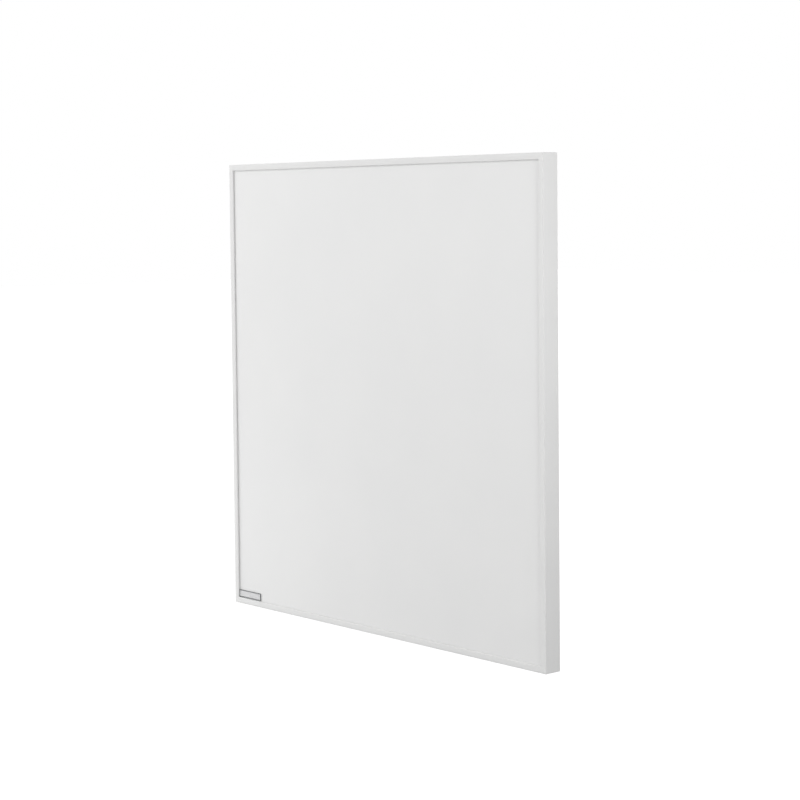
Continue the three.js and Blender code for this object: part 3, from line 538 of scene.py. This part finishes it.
# One extruded section for the four frame rails, mitred at the corners.
rail = {
    "lip": 8 * mm, "lipThick": 1.5 * mm, "lipRound": 0.55 * mm, "wall": 1.4 * mm,
    "channelFront": 5.6 * mm, "channelWall": 1.2 * mm, "channelWidth": 7.4 * mm,
    "ledge": 4 * mm, "ledgeFront": 19.6 * mm, "ledgeThick": 1.4 * mm,
    "edge": 0.25 * mm, "corner": 1.0 * mm,
    "mitre": 0.02 * mm,  # left open at each end
    "mitreStep": 0.1 * mm,  # between the rows of points next to a mitre
}


# The extrusion's outline and its hollow, as (inward, depth).
def railSection():
    r = rail
    channelEnd = r["wall"] + r["channelWidth"] + r["channelWall"]
    outer = filleted([
        (0, 0, r["lipRound"]),
        (r["lip"], 0, r["lipRound"]),
        (r["lip"], r["lipThick"], r["edge"]),
        (r["wall"], r["lipThick"], r["edge"]),
        (r["wall"], r["channelFront"], r["edge"]),
        (channelEnd, r["channelFront"], r["edge"]),
        (channelEnd, r["ledgeFront"], r["edge"]),
        (channelEnd + r["ledge"], r["ledgeFront"], r["edge"]),
        (channelEnd + r["ledge"], r["ledgeFront"] + r["ledgeThick"], r["edge"]),
        (r["wall"], r["ledgeFront"] + r["ledgeThick"], r["edge"]),
        (r["wall"], panel["depth"], r["edge"]),
        (0, panel["depth"], r["edge"]),
    ])
    inner = filleted([
        (r["wall"], r["channelFront"] + r["channelWall"], r["edge"]),
        (r["wall"] + r["channelWidth"], r["channelFront"] + r["channelWall"], r["edge"]),
        (r["wall"] + r["channelWidth"], r["ledgeFront"], r["edge"]),
        (r["wall"], r["ledgeFront"], r["edge"]),
    ])
    return outer, inner


# (along, inward) of one section point from the left mitre to the right one, round the outer corner.
def railStations(inward, length, steps=4):
    r = rail["corner"]
    right = []
    for k in range(steps + 1):
        if inward < r:
            angle = math.pi / 4 * k / steps
            along = length / 2 - r + (r - inward) * math.sin(angle)
            right.append((along - rail["mitre"], r - (r - inward) * math.cos(angle)))
        else:
            right.append((length / 2 - inward - (steps - k) * rail["mitreStep"] - rail["mitre"], inward))
    left = [(-along, deep) for along, deep in reversed(right)]
    return left + right


def frameRail(side, along, inward, length, reach):
    outer, inner = railSection()
    bm = bmesh.new()
    rows = []
    for outline in (outer, inner):
        columns = []
        for deep, depth in outline:
            column = []
            for s, u in railStations(deep, length):
                place = Vector(along) * s + Vector(inward) * (u - reach)
                place += Vector((0, panel["front"] + depth, panel["middle"]))
                column.append(bm.verts.new(place))
            columns.append(column)
        rows.append(columns)
        for a, b in zip(columns, columns[1:] + columns[:1]):
            for k in range(len(a) - 1):
                bm.faces.new((a[k], a[k + 1], b[k + 1], b[k]))
    ring = rows[0] + rows[1]
    flat = [[Vector((x, y, 0)) for x, y in outline] for outline in (outer, inner)]
    for triangle in tessellate_polygon(flat):
        bm.faces.new([ring[i][0] for i in triangle])
        bm.faces.new([ring[i][-1] for i in reversed(triangle)])
    finishPiece("frameRail" + side.capitalize(), bm, "frame_rail_" + side, smooth=50)


def addFrame():
    half = panel["height"] / 2
    wide = panel["width"] / 2
    frameRail("bottom", (1, 0, 0), (0, 0, 1), panel["width"], half)
    frameRail("right", (0, 0, 1), (-1, 0, 0), panel["height"], wide)
    frameRail("top", (-1, 0, 0), (0, 0, -1), panel["width"], half)
    frameRail("left", (0, 0, -1), (1, 0, 0), panel["height"], wide)


addFrame()
print("frame rails made")


# A foam strip squeezed between the lip and the plate, its inner edge a little bulged.
gasket = {
    "play": 0.02 * mm, "corner": 1.5 * mm,
    "inset": 0.35 * mm,  # from the lip's inner edge to the foam's flat faces
    "bulge": ((0.75, 0.3 * mm), (0.5, 0.2 * mm), (0.25, 0.3 * mm)),  # share of the thickness, inset there
    "sag": 1.4 * mm,  # how much lower the foam's inner edge lies at the bottom
}


def lipGasket():
    g = gasket
    low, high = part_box("lip_gasket")
    front = panel["front"] + rail["lipThick"] + g["play"]
    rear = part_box("radiating_plate")[0].y - g["play"]
    middle = ((low.x + high.x) / 2, (low.z + high.z) / 2)
    window = panel["width"] - 2 * rail["lip"]

    def edge(size, y, sag=0):
        return plateLoop(size, size + sag, g["corner"], y, (middle[0], middle[1] - sag / 2), 3)

    outer = high.x - low.x
    loops = [edge(outer, front), edge(outer, rear), edge(window + 2 * g["inset"], rear, g["sag"])]
    for share, inset in g["bulge"]:
        loops.append(edge(window + 2 * inset, front + (rear - front) * share, g["sag"]))
    loops.append(edge(window + 2 * g["inset"], front, g["sag"]))
    finishPiece("lipGasket", stackLoops(loops, wrap=True), "lip_gasket", smooth=50)


lipGasket()
print("gasket made")


# Bare brushed badge in a dark bezel, in the plate's lower left corner.
badge = {"edge": 0.12 * mm, "bezel": 1.0 * mm}


def addBadge():
    low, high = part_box("badge_plate")
    bm = plainBox(low, high)
    finishPiece("badgePlate", bm, "badge_plate", bevel=badge["edge"])
    low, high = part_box("badge_bezel")
    b = badge["bezel"]
    outline = [
        (low.x, low.z), (high.x, low.z), (high.x, high.z), (low.x, high.z),
        (low.x, high.z - b), (high.x - b, high.z - b), (high.x - b, low.z + b), (low.x, low.z + b),
    ]
    loops = [[Vector((x, y, z)) for x, z in outline] for y in (low.y, high.y)]
    finishPiece("badgeBezel", stackLoops(loops), "badge_bezel", bevel=badge["edge"])


addBadge()
print("badge made")


# Pressed sheet: a sunk pan with upright beads inside a flat flange.
cover = {
    "thick": 0.8 * mm, "size": 591 * mm,
    "flangeRear": 22.0 * mm,  # depth of the flange's rear face
    "pan": 565.8 * mm, "panCorner": 12 * mm, "panSlope": 2.4 * mm, "panDrop": 2.4 * mm,
    "beads": 5, "beadLength": 260 * mm, "beadWidth": 16 * mm,
    "beadSlope": 3 * mm, "beadHeight": 1.8 * mm, "beadSpacing": 106.45 * mm,
    # reach of the fine mesh: outside the pan, past a bead's slope, along a bead's round end
    "panMargin": 1 * mm, "beadMargin": 0.4 * mm, "beadTip": 9 * mm,
    "holeReach": (-26 * mm, -19 * mm),  # y of the bars that cut the holes
    "holes": {"cover_screw": 1.7 * mm, "hanger_rivet": 1.8 * mm, "base_screw": 1.7 * mm,
              "wire_grommet": 7.8 * mm, "earth_stud": 2.2 * mm},
}


# How far a point lies inside a rounded rectangle.
def insideRect(x, z, width, height, radius):
    dx = abs(x) - (width / 2 - radius)
    dz = abs(z) - (height / 2 - radius)
    outside = math.hypot(max(dx, 0), max(dz, 0))
    return radius - outside - min(max(dx, dz), 0)


# The press tool's soft step, from 0 outside to 1 past the slope.
def pressStep(inside, slope):
    t = max(0.0, min(1.0, inside / slope))
    return t * t * (3 - 2 * t)


def coverDepth(x, z):
    c = cover
    depth = c["flangeRear"]
    depth -= c["panDrop"] * pressStep(insideRect(x, z, c["pan"], c["pan"], c["panCorner"]), c["panSlope"])
    for i in range(c["beads"]):
        middle = (i - (c["beads"] - 1) / 2) * c["beadSpacing"]
        inside = insideRect(x - middle, z, c["beadWidth"], c["beadLength"], c["beadWidth"] / 2)
        depth += c["beadHeight"] * pressStep(inside, c["beadSlope"])
    return depth


# Positions from -half to half, close together across the given spans.
def gridLines(half, fineSpans, coarse=14 * mm, fine=0.8 * mm):
    marks = [-half]
    for start, end in sorted(fineSpans):
        gap = start - marks[-1]
        count = max(1, round(gap / coarse))
        marks += [marks[-1] + gap * (k + 1) / count for k in range(count)]
        count = max(1, round((end - start) / fine))
        marks += [start + (end - start) * (k + 1) / count for k in range(count)]
    gap = half - marks[-1]
    count = max(1, round(gap / coarse))
    base = marks[-1]
    return marks + [base + gap * (k + 1) / count for k in range(count)]


def rearCover():
    c = cover
    half = c["size"] / 2
    rim = (c["pan"] / 2 - c["panCorner"], c["pan"] / 2 + c["panMargin"])
    spansX = [(-rim[1], -rim[0]), rim]
    outer = c["beadWidth"] / 2 + c["beadMargin"]
    inner = c["beadWidth"] / 2 - c["beadSlope"] - c["beadMargin"]
    for i in range(c["beads"]):
        middle = (i - (c["beads"] - 1) / 2) * c["beadSpacing"]
        spansX += [(middle - outer, middle - inner), (middle + inner, middle + outer)]
    tip = (c["beadLength"] / 2 - c["beadTip"], c["beadLength"] / 2 + c["beadMargin"])
    spansZ = [(-rim[1], -rim[0]), rim, (-tip[1], -tip[0]), tip]
    xs = gridLines(half, spansX)
    zs = gridLines(half, spansZ)
    bm = bmesh.new()
    sheets = []
    for lift in (0, -c["thick"]):
        sheets.append([[
            bm.verts.new((x, panel["front"] + coverDepth(x, z) + lift, panel["middle"] + z)) for x in xs
        ] for z in zs])
    rear, front = sheets
    for j in range(len(zs) - 1):
        for i in range(len(xs) - 1):
            bm.faces.new((rear[j][i], rear[j + 1][i], rear[j + 1][i + 1], rear[j][i + 1]))
            bm.faces.new((front[j][i], front[j][i + 1], front[j + 1][i + 1], front[j + 1][i]))
    edge = [(0, i) for i in range(len(xs))]
    edge += [(j, len(xs) - 1) for j in range(1, len(zs))]
    edge += [(len(zs) - 1, i) for i in range(len(xs) - 2, -1, -1)]
    edge += [(j, 0) for j in range(len(zs) - 2, 0, -1)]
    for (j, i), (l, k) in zip(edge, edge[1:] + edge[:1]):
        bm.faces.new((rear[j][i], rear[l][k], front[l][k], front[j][i]))
    return bm


# Bars through the cover at its screws, rivets, wires and earth stud.
def coverHoles():
    holes = []
    for node in nodes:
        for kind, radius in cover["holes"].items():
            if node.startswith(kind):
                middle = middleOf(node)
                holes.append(rod(radius, *cover["holeReach"], middle.x, middle.z))
    return joined(holes)


finishPiece("rearCover", cutWith(rearCover(), [coverHoles()]), "rear_cover", smooth=50)
print("rear cover made")


# Folded strips: the heater's hanger rails hook over the rails on the wall.
rails = {
    "sheet": 1.5 * mm, "bend": 1.0 * mm, "edge": 0.2 * mm,
    "wallReach": 11.5 * mm, "wallFlange": 26 * mm, "wallHook": 13 * mm,
    "hangerSeat": -23.2 * mm, "hangerHook": -7.7 * mm, "hangerLip": 11.5 * mm,
    "slotLength": 16 * mm, "slotWidth": 6.5 * mm, "slotInset": 45 * mm,
    "rivetHole": 1.8 * mm,
    "slotReach": (-4 * mm, 3 * mm), "holeReach": (-25 * mm, -19 * mm),  # y of the bars that cut them
}


# A folded strip drawn along X. Its corners are (y, z, radius) of the whole outline.
def stripBeam(corners, length):
    outline = filleted(corners, 6)
    loops = [[Vector((x, y, z)) for y, z in outline] for x in (-length / 2, length / 2)]
    return stackLoops(loops)


def wallRail(level, height):
    r = rails
    s, b = r["sheet"], r["bend"]
    top = r["wallFlange"] / 2
    corners = [
        (0, -top, 0), (0, top, b + s), (-r["wallReach"] + s, top, b),
        (-r["wallReach"] + s, top + r["wallHook"], 0), (-r["wallReach"], top + r["wallHook"], 0),
        (-r["wallReach"], top - s, b + s), (-s, top - s, b), (-s, -top, 0),
    ]
    node = "wall_rail_" + level
    low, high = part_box(node)
    length = high.x - low.x
    bm = stripBeam([(y, z + height, radius) for y, z, radius in corners], length)
    slots = []
    for side in (-1, 1):
        x = side * (length / 2 - r["slotInset"])
        loops = [plateLoop(r["slotLength"], r["slotWidth"], r["slotWidth"] / 2, y, (x, height), 8)
                 for y in r["slotReach"]]
        slots.append(stackLoops(loops))
    slotted = cutWith(bm, [joined(slots)])
    finishPiece("wallRail" + level.capitalize(), slotted, node, "wall_rails", bevel=r["edge"])


def hangerRail(level):
    r = rails
    s, b = r["sheet"], r["bend"]
    node = "hanger_rail_" + level
    low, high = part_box(node)
    top, foot = high.z, low.z
    corners = [
        (r["hangerSeat"], foot, 0), (r["hangerSeat"], top, b + s), (r["hangerHook"], top, b + s),
        (r["hangerHook"], top - r["hangerLip"], 0), (r["hangerHook"] - s, top - r["hangerLip"], 0),
        (r["hangerHook"] - s, top - s, b), (r["hangerSeat"] + s, top - s, b),
        (r["hangerSeat"] + s, foot, 0),
    ]
    bm = stripBeam(corners, high.x - low.x)
    holes = []
    for i in (1, 2):
        middle = middleOf(f"hanger_rivet_{level}_{i}")
        holes.append(rod(r["rivetHole"], *r["holeReach"], middle.x, middle.z))
    finishPiece("hangerRail" + level.capitalize(), cutWith(bm, [joined(holes)]), node, bevel=r["edge"])


for level, height in (("upper", 0), ("lower", 2 * panel["middle"])):
    wallRail(level, height)
    hangerRail(level)
print("rails made")


# Pan head screw; the head is at the rear end, the point looks forward.
screw = {
    "shank": 1.5 * mm, "pitch": 0.8 * mm, "thread": 0.25 * mm,
    "point": 0.05 * mm, "taper": (0.55, 0.6),  # radius and length of the point's first step, by the shank
    "head": 3.2 * mm, "headHeight": 2.0 * mm, "rim": 0.15 * mm,
    "flat": 0.35, "fullness": 0.7,  # share of the head that stays flat, and how full its round edge is
    # half sizes of one arm of the cross recess, how far its cutter stands out and reaches in,
    # and the cutter's scale at those two ends
    "armLong": 1.75 * mm, "armWide": 0.45 * mm,
    "armOut": 0.3 * mm, "armDeep": 1.3 * mm, "armScale": (1.1, 0.6),
}


def panScrew(name, node):
    s = screw
    low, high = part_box(node)
    seat = high.y - s["headHeight"]
    length = seat - low.y
    root = s["shank"] - s["thread"]
    profile = [(s["point"], -length), (s["shank"] * s["taper"][0], -length + s["shank"] * s["taper"][1])]
    y = -length + s["shank"]
    while y < -2 * s["pitch"]:
        profile += [(root, y), (s["shank"], y + s["pitch"] / 2)]
        y += s["pitch"]
    profile += [(root, y), (root, 0), (s["head"] - s["rim"], 0)]
    for step in range(9):
        angle = math.pi / 2 * step / 8
        reach = s["head"] * (s["flat"] + (1 - s["flat"]) * math.cos(angle) ** s["fullness"])
        profile.append((reach, s["rim"] + (s["headHeight"] - s["rim"]) * math.sin(angle)))
    centre = ((low.x + high.x) / 2, seat, (low.z + high.z) / 2)
    bm = stackLoops(turned(profile, centre))
    arms = []
    ends = ((high.y + s["armOut"], s["armScale"][0]), (high.y - s["armDeep"], s["armScale"][1]))
    for wide, tall in ((s["armLong"], s["armWide"]), (s["armWide"], s["armLong"])):
        loops = [[Vector((centre[0] + sx * wide * scale, y, centre[2] + sz * tall * scale))
                  for sx, sz in ((1, 1), (-1, 1), (-1, -1), (1, -1))]
                 for y, scale in ends]
        arms.append(stackLoops(loops))
    finishPiece(name, cutWith(bm, arms), node, smooth=40)


rivet = {
    "shank": 1.6 * mm,
    "head": 4.8 * mm, "headHeight": 1.5 * mm, "rim": 0.15 * mm, "undercut": 0.2 * mm,
    "arc": 68,  # degrees that the dome sweeps
    # the set tail as (radius, distance from its end), and the stem's mark as (radius, depth)
    "tail": ((0.8 * mm, 0), (2.0 * mm, 0.15 * mm), (2.65 * mm, 0.7 * mm), (2.3 * mm, 1.3 * mm),
             (1.6 * mm, 1.55 * mm)),
    "stem": ((1.25 * mm, 0.1 * mm), (1.1 * mm, 0.9 * mm), (0.3 * mm, 0.8 * mm)),
}


def domeRivet(name, node):
    r = rivet
    low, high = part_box(node)
    centre = ((low.x + high.x) / 2, 0, (low.z + high.z) / 2)
    seat = high.y - r["headHeight"]
    arc = math.radians(r["arc"])
    rise = (r["headHeight"] - r["rim"]) / math.sin(arc)
    profile = [(radius, low.y + along) for radius, along in r["tail"]]
    profile += [(r["shank"], seat), (r["head"] - r["undercut"], seat)]
    for step in range(9):
        angle = arc * step / 8
        profile.append((r["head"] * math.cos(angle), seat + r["rim"] + rise * math.sin(angle)))
    profile += [(radius, high.y - depth) for radius, depth in r["stem"]]
    finishPiece(name, stackLoops(turned(profile, centre)), node, smooth=45)


def addFasteners():
    for node in sorted(nodes):
        words = node.split("_")
        name = words[0] + "".join(word.capitalize() for word in words[1:])
        if "screw" in words:
            panScrew(name, node)
        if "rivet" in words:
            domeRivet(name, node)


addFasteners()
print("screws and rivets made")


# Moulded box on the cover, with its lid and the gland for the cord.
box = {
    "wall": 2 * mm, "draft": 0.25 * mm, "corner": 5 * mm, "smallestCorner": 0.6 * mm,
    "edge": 0.8 * mm,  # size of the rounding round the box's front and the lid's rear
    # those roundings as shares of that size: (inset, depth from the flat face)
    "baseRound": ((1, 0), (0.3, 0.1), (0, 0.5)),
    "lidRound": ((0, 1), (0.08, 0.6), (0.3, 0.3), (0.6, 0.08), (1, 0)),
    # small bevels: at sharp edges, outer rims, inner rims, a wall's foot, the lid's inner corner
    "chamfer": 0.1 * mm, "rim": 0.15 * mm, "lead": 0.2 * mm, "cove": 0.3 * mm, "root": 0.4 * mm,
    "skirtInset": 2.3 * mm, "skirtWall": 2 * mm, "skirt": 2.2 * mm,
    "stepInset": 5 * mm, "stepDepth": 0.4 * mm,
    "notchHalf": 10 * mm, "notchHigh": 8 * mm,  # in the lid's skirt, over the gland
    "baseHoles": {"base_screw_1": 1.7 * mm, "base_screw_2": 1.7 * mm,
                  "wire_grommet": 9.9 * mm, "earth_stud": 2.2 * mm},
    "lidHoles": {"lid_screw_1": 1.7 * mm, "lid_screw_2": 1.7 * mm},
    "glandHole": 5.2 * mm,
}


# Gives the outline at an inset from a moulded part's sides, at the depth y.
def outlineOf(low, high):
    wide, tall = high.x - low.x, high.z - low.z
    middle = ((low.x + high.x) / 2, (low.z + high.z) / 2)

    def ring(inset, y):
        corner = max(box["corner"] - inset, box["smallestCorner"])
        return plateLoop(wide - 2 * inset, tall - 2 * inset, corner, y, middle)

    return ring


def terminalBase():
    b = box
    low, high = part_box("terminal_box_base")
    ring = outlineOf(low, high)
    wall, floor, foot = b["wall"], low.y + b["wall"], b["wall"] + b["draft"]
    loops = [ring(inset * b["edge"], low.y + depth * b["edge"]) for inset, depth in b["baseRound"]]
    loops += [
        ring(0, high.y - b["lead"]), ring(b["rim"], high.y),
        ring(wall - b["chamfer"], high.y), ring(wall, high.y - b["lead"]),
        ring(foot, floor + b["cove"]), ring(foot + b["cove"], floor),
    ]
    cuts = []
    for node, radius in b["baseHoles"].items():
        at = middleOf(node)
        cuts.append(rod(radius, low.y - wall, low.y + 3 * wall, at.x, at.z, 32))
    at = middleOf("gland_body")
    bore = stackLoops(turned([(b["glandHole"], -2 * wall), (b["glandHole"], 2 * wall)]))
    bmesh.ops.rotate(bore, verts=bore.verts, matrix=Matrix.Rotation(math.pi / 2, 3, "X"))
    bmesh.ops.translate(bore, verts=bore.verts, vec=(at.x, at.y, low.z + wall / 2))
    cuts.append(bore)
    shell = cutWith(stackLoops(loops), [joined(cuts)])
    finishPiece("terminalBoxBase", shell, "terminal_box_base", smooth=40)


def terminalLid():
    b = box
    low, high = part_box("terminal_box_lid")
    ring = outlineOf(low, high)
    under = low.y + b["skirt"]
    outer, inner = b["skirtInset"], b["skirtInset"] + b["skirtWall"]
    step, sunk = b["stepInset"], high.y - b["stepDepth"]
    bevel = b["chamfer"]
    loops = [
        ring(inner + b["root"], under), ring(inner, under - b["root"]), ring(inner, low.y + b["lead"]),
        ring(inner - b["lead"], low.y), ring(outer + b["cove"], low.y), ring(outer, low.y + b["cove"]),
        ring(outer, under), ring(b["rim"], under), ring(0, under + b["rim"]),
    ]
    loops += [ring(inset * b["edge"], high.y - depth * b["edge"]) for inset, depth in b["lidRound"]]
    loops += [
        ring(step - bevel, high.y), ring(step, high.y - bevel),
        ring(step + bevel, sunk + bevel), ring(step + 2 * bevel, sunk),
    ]
    over = 1 * mm
    cuts = []
    for node, radius in b["lidHoles"].items():
        at = middleOf(node)
        cuts.append(rod(radius, low.y - over, high.y + over, at.x, at.z))
    x = (low.x + high.x) / 2
    notch = plainBox((x - b["notchHalf"], low.y - over, low.z - over),
                     (x + b["notchHalf"], under, low.z + b["notchHigh"]))
    shell = cutWith(stackLoops(loops), [joined(cuts), notch])
    finishPiece("terminalBoxLid", shell, "terminal_box_lid", smooth=40)


# The gland's three pieces, each a profile of (radius, distance below its top).
gland = {
    "bore": 3.4 * mm, "lockBore": 5.2 * mm,
    "thread": 5.0 * mm, "root": 4.7 * mm, "pitch": 1.0 * mm, "threadStart": 0.2 * mm, "threadEnd": 6.6 * mm,
    "collar": ((4.8 * mm, 7.3 * mm), (6.9 * mm, 7.3 * mm), (7.5 * mm, 7.6 * mm),
               (7.5 * mm, 11.0 * mm), (6.9 * mm, 11.3 * mm)),
    "dome": ((6.3 * mm, 0), (6.6 * mm, 0.3 * mm), (6.6 * mm, 0.8 * mm), (6.6 * mm, 3 * mm),
             (6.6 * mm, 5.6 * mm), (6.6 * mm, 6.4 * mm), (6.5 * mm, 7.0 * mm), (6.2 * mm, 7.8 * mm),
             (5.7 * mm, 8.7 * mm), (5.1 * mm, 9.5 * mm), (4.7 * mm, 9.9 * mm), (4.3 * mm, 10 * mm),
             (3.6 * mm, 10 * mm), (3.4 * mm, 9.8 * mm)),
    "lock": ((6.9 * mm, 0), (7.6 * mm, 0.35 * mm), (7.6 * mm, 2.65 * mm), (6.9 * mm, 3 * mm)),
    "bodyFlat": 6.5 * mm, "lockFlat": 6.6 * mm, "roundBelow": 5.5 * mm,
    "flutes": 12, "fluteDepth": 0.35 * mm, "fluteSpan": (0.4 * mm, 6.5 * mm), "fluteAbove": 5.8 * mm,
}


# A piece turned about a vertical axis, hanging down from its node's top.
def downPiece(name, node, profile, ripple, steps=72):
    low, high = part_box(node)
    bm = stackLoops(turned(profile, steps=steps, ripple=ripple), wrap=True)
    bmesh.ops.rotate(bm, verts=bm.verts, matrix=Matrix.Rotation(-math.pi / 2, 3, "X"))
    bmesh.ops.translate(bm, verts=bm.verts, vec=((low.x + high.x) / 2, (low.y + high.y) / 2, high.z))
    finishPiece(name, bm, node, smooth=32)


# Cuts a collar to a hexagon; what is narrower stays round.
def hexagon(flat):
    def ripple(radius, y, angle):
        if radius < gland["roundBelow"]:
            return radius
        turn = (angle + math.pi / 6) % (math.pi / 3) - math.pi / 6
        return min(flat / math.cos(turn), radius)

    return ripple


# Grip flutes round the wide upper part of the dome nut.
def fluted(radius, y, angle):
    start, end = gland["fluteSpan"]
    if radius < gland["fluteAbove"] or y > end or y < start:
        return radius
    return radius - gland["fluteDepth"] * (0.5 + 0.5 * math.cos(gland["flutes"] * angle)) ** 3


def addGland():
    g = gland
    body = [(g["bore"], 0), (g["root"] - 0.1 * mm, 0)]
    y = g["threadStart"]
    while y < g["threadEnd"]:
        body += [(g["root"], y), (g["thread"], y + g["pitch"] / 2)]
        y += g["pitch"]
    body += [*g["collar"], (g["bore"], g["collar"][-1][1])]
    downPiece("glandBody", "gland_body", body, hexagon(g["bodyFlat"]))
    downPiece("glandDomeNut", "gland_dome_nut", [(g["bore"], 0), *g["dome"]], fluted, 144)
    lock = [(g["lockBore"], 0), *g["lock"], (g["lockBore"], g["lock"][-1][1])]
    downPiece("glandLocknut", "gland_locknut", lock, hexagon(g["lockFlat"]))


terminalBase()
terminalLid()
addGland()
print("terminal box and gland made")


# Plain pale floor and white surroundings.
studio = {
    "floorDrop": 0.75,  # below the panel
    "floorSize": 60.0,
    "ambient": 0.46,
    "floorGlow": 0.80,
}


def addFloor():
    bm = bmesh.new()
    size = studio["floorSize"] / 2
    z = panel["middle"] - panel["height"] / 2 - studio["floorDrop"]
    corners = ((-size, -size), (size, -size), (size, size), (-size, size))
    bm.faces.new([bm.verts.new((x, y, z)) for x, y in corners])
    mesh = bpy.data.meshes.new("studioFloor")
    bm.to_mesh(mesh)
    bm.free()
    floor = bpy.data.objects.new("studioFloor", mesh)
    bpy.context.scene.collection.objects.link(floor)
    finish, tree, shader = newFinish("studioFloor", (0.6, 0.6, 0.6), 0.9)
    shader.inputs["Emission Color"].default_value = (1, 1, 1, 1)
    seen = seenDirectly(tree)
    glow = addNode(tree, "ShaderNodeMath", {"operation": "MULTIPLY"})
    glow.inputs[1].default_value = studio["floorGlow"]
    tree.links.new(seen, glow.inputs[0])
    tree.links.new(glow.outputs[0], shader.inputs["Emission Strength"])
    mesh.materials.append(finish)


# 1 for rays from the camera, and for those that a gloss or a glass sends on; 0 for diffuse light.
def seenDirectly(tree):
    path = tree.nodes.new("ShaderNodeLightPath")
    first = addNode(tree, "ShaderNodeMath", {"operation": "MAXIMUM"})
    second = addNode(tree, "ShaderNodeMath", {"operation": "MAXIMUM"})
    tree.links.new(path.outputs["Is Camera Ray"], first.inputs[0])
    tree.links.new(path.outputs["Is Glossy Ray"], first.inputs[1])
    tree.links.new(first.outputs[0], second.inputs[0])
    tree.links.new(path.outputs["Is Transmission Ray"], second.inputs[1])
    return second.outputs[0]


def addWorld():
    world = bpy.data.worlds.new("studio")
    bpy.context.scene.world = world
    world.use_nodes = True
    tree = world.node_tree
    background = tree.nodes["Background"]
    background.inputs["Color"].default_value = (1, 1, 1, 1)
    strength = tree.nodes.new("ShaderNodeMapRange")
    strength.inputs["To Min"].default_value = studio["ambient"]
    strength.inputs["To Max"].default_value = 1.0
    tree.links.new(seenDirectly(tree), strength.inputs["Value"])
    tree.links.new(strength.outputs["Result"], background.inputs["Strength"])


lamps = {
    "key": {"place": (-1.0, -1.5, 0.75), "aim": (0, 0, 0), "size": 2.4, "power": 27.5},
    "side": {"place": (1.15, -0.22, 0.32), "aim": (0.3, 0.02, 0.1), "size": 0.4, "power": 4.3},
    "left": {"place": (-0.8, -0.15, -0.3), "aim": (-0.3, 0, -0.3), "size": 0.3, "power": 0.65},
    "rear": {"place": (-0.6, 2.6, 1.2), "aim": (0, 0, 0), "size": 2.0, "power": 10},
}


def addLamps():
    centre = Vector((0, panel["front"], panel["middle"]))
    for name, lamp in lamps.items():
        target = centre + Vector(lamp["aim"])
        data = bpy.data.lights.new(name + "Lamp", "AREA")
        data.shape = "SQUARE"
        data.size = lamp["size"]
        data.energy = lamp["power"]
        light = bpy.data.objects.new(name + "Lamp", data)
        light.location = centre + Vector(lamp["place"])
        light.rotation_euler = (target - light.location).to_track_quat("-Z", "Y").to_euler()
        bpy.context.scene.collection.objects.link(light)


addFloor()
addWorld()
addLamps()
bpy.context.scene.view_settings.view_transform = "Standard"
print("studio made")
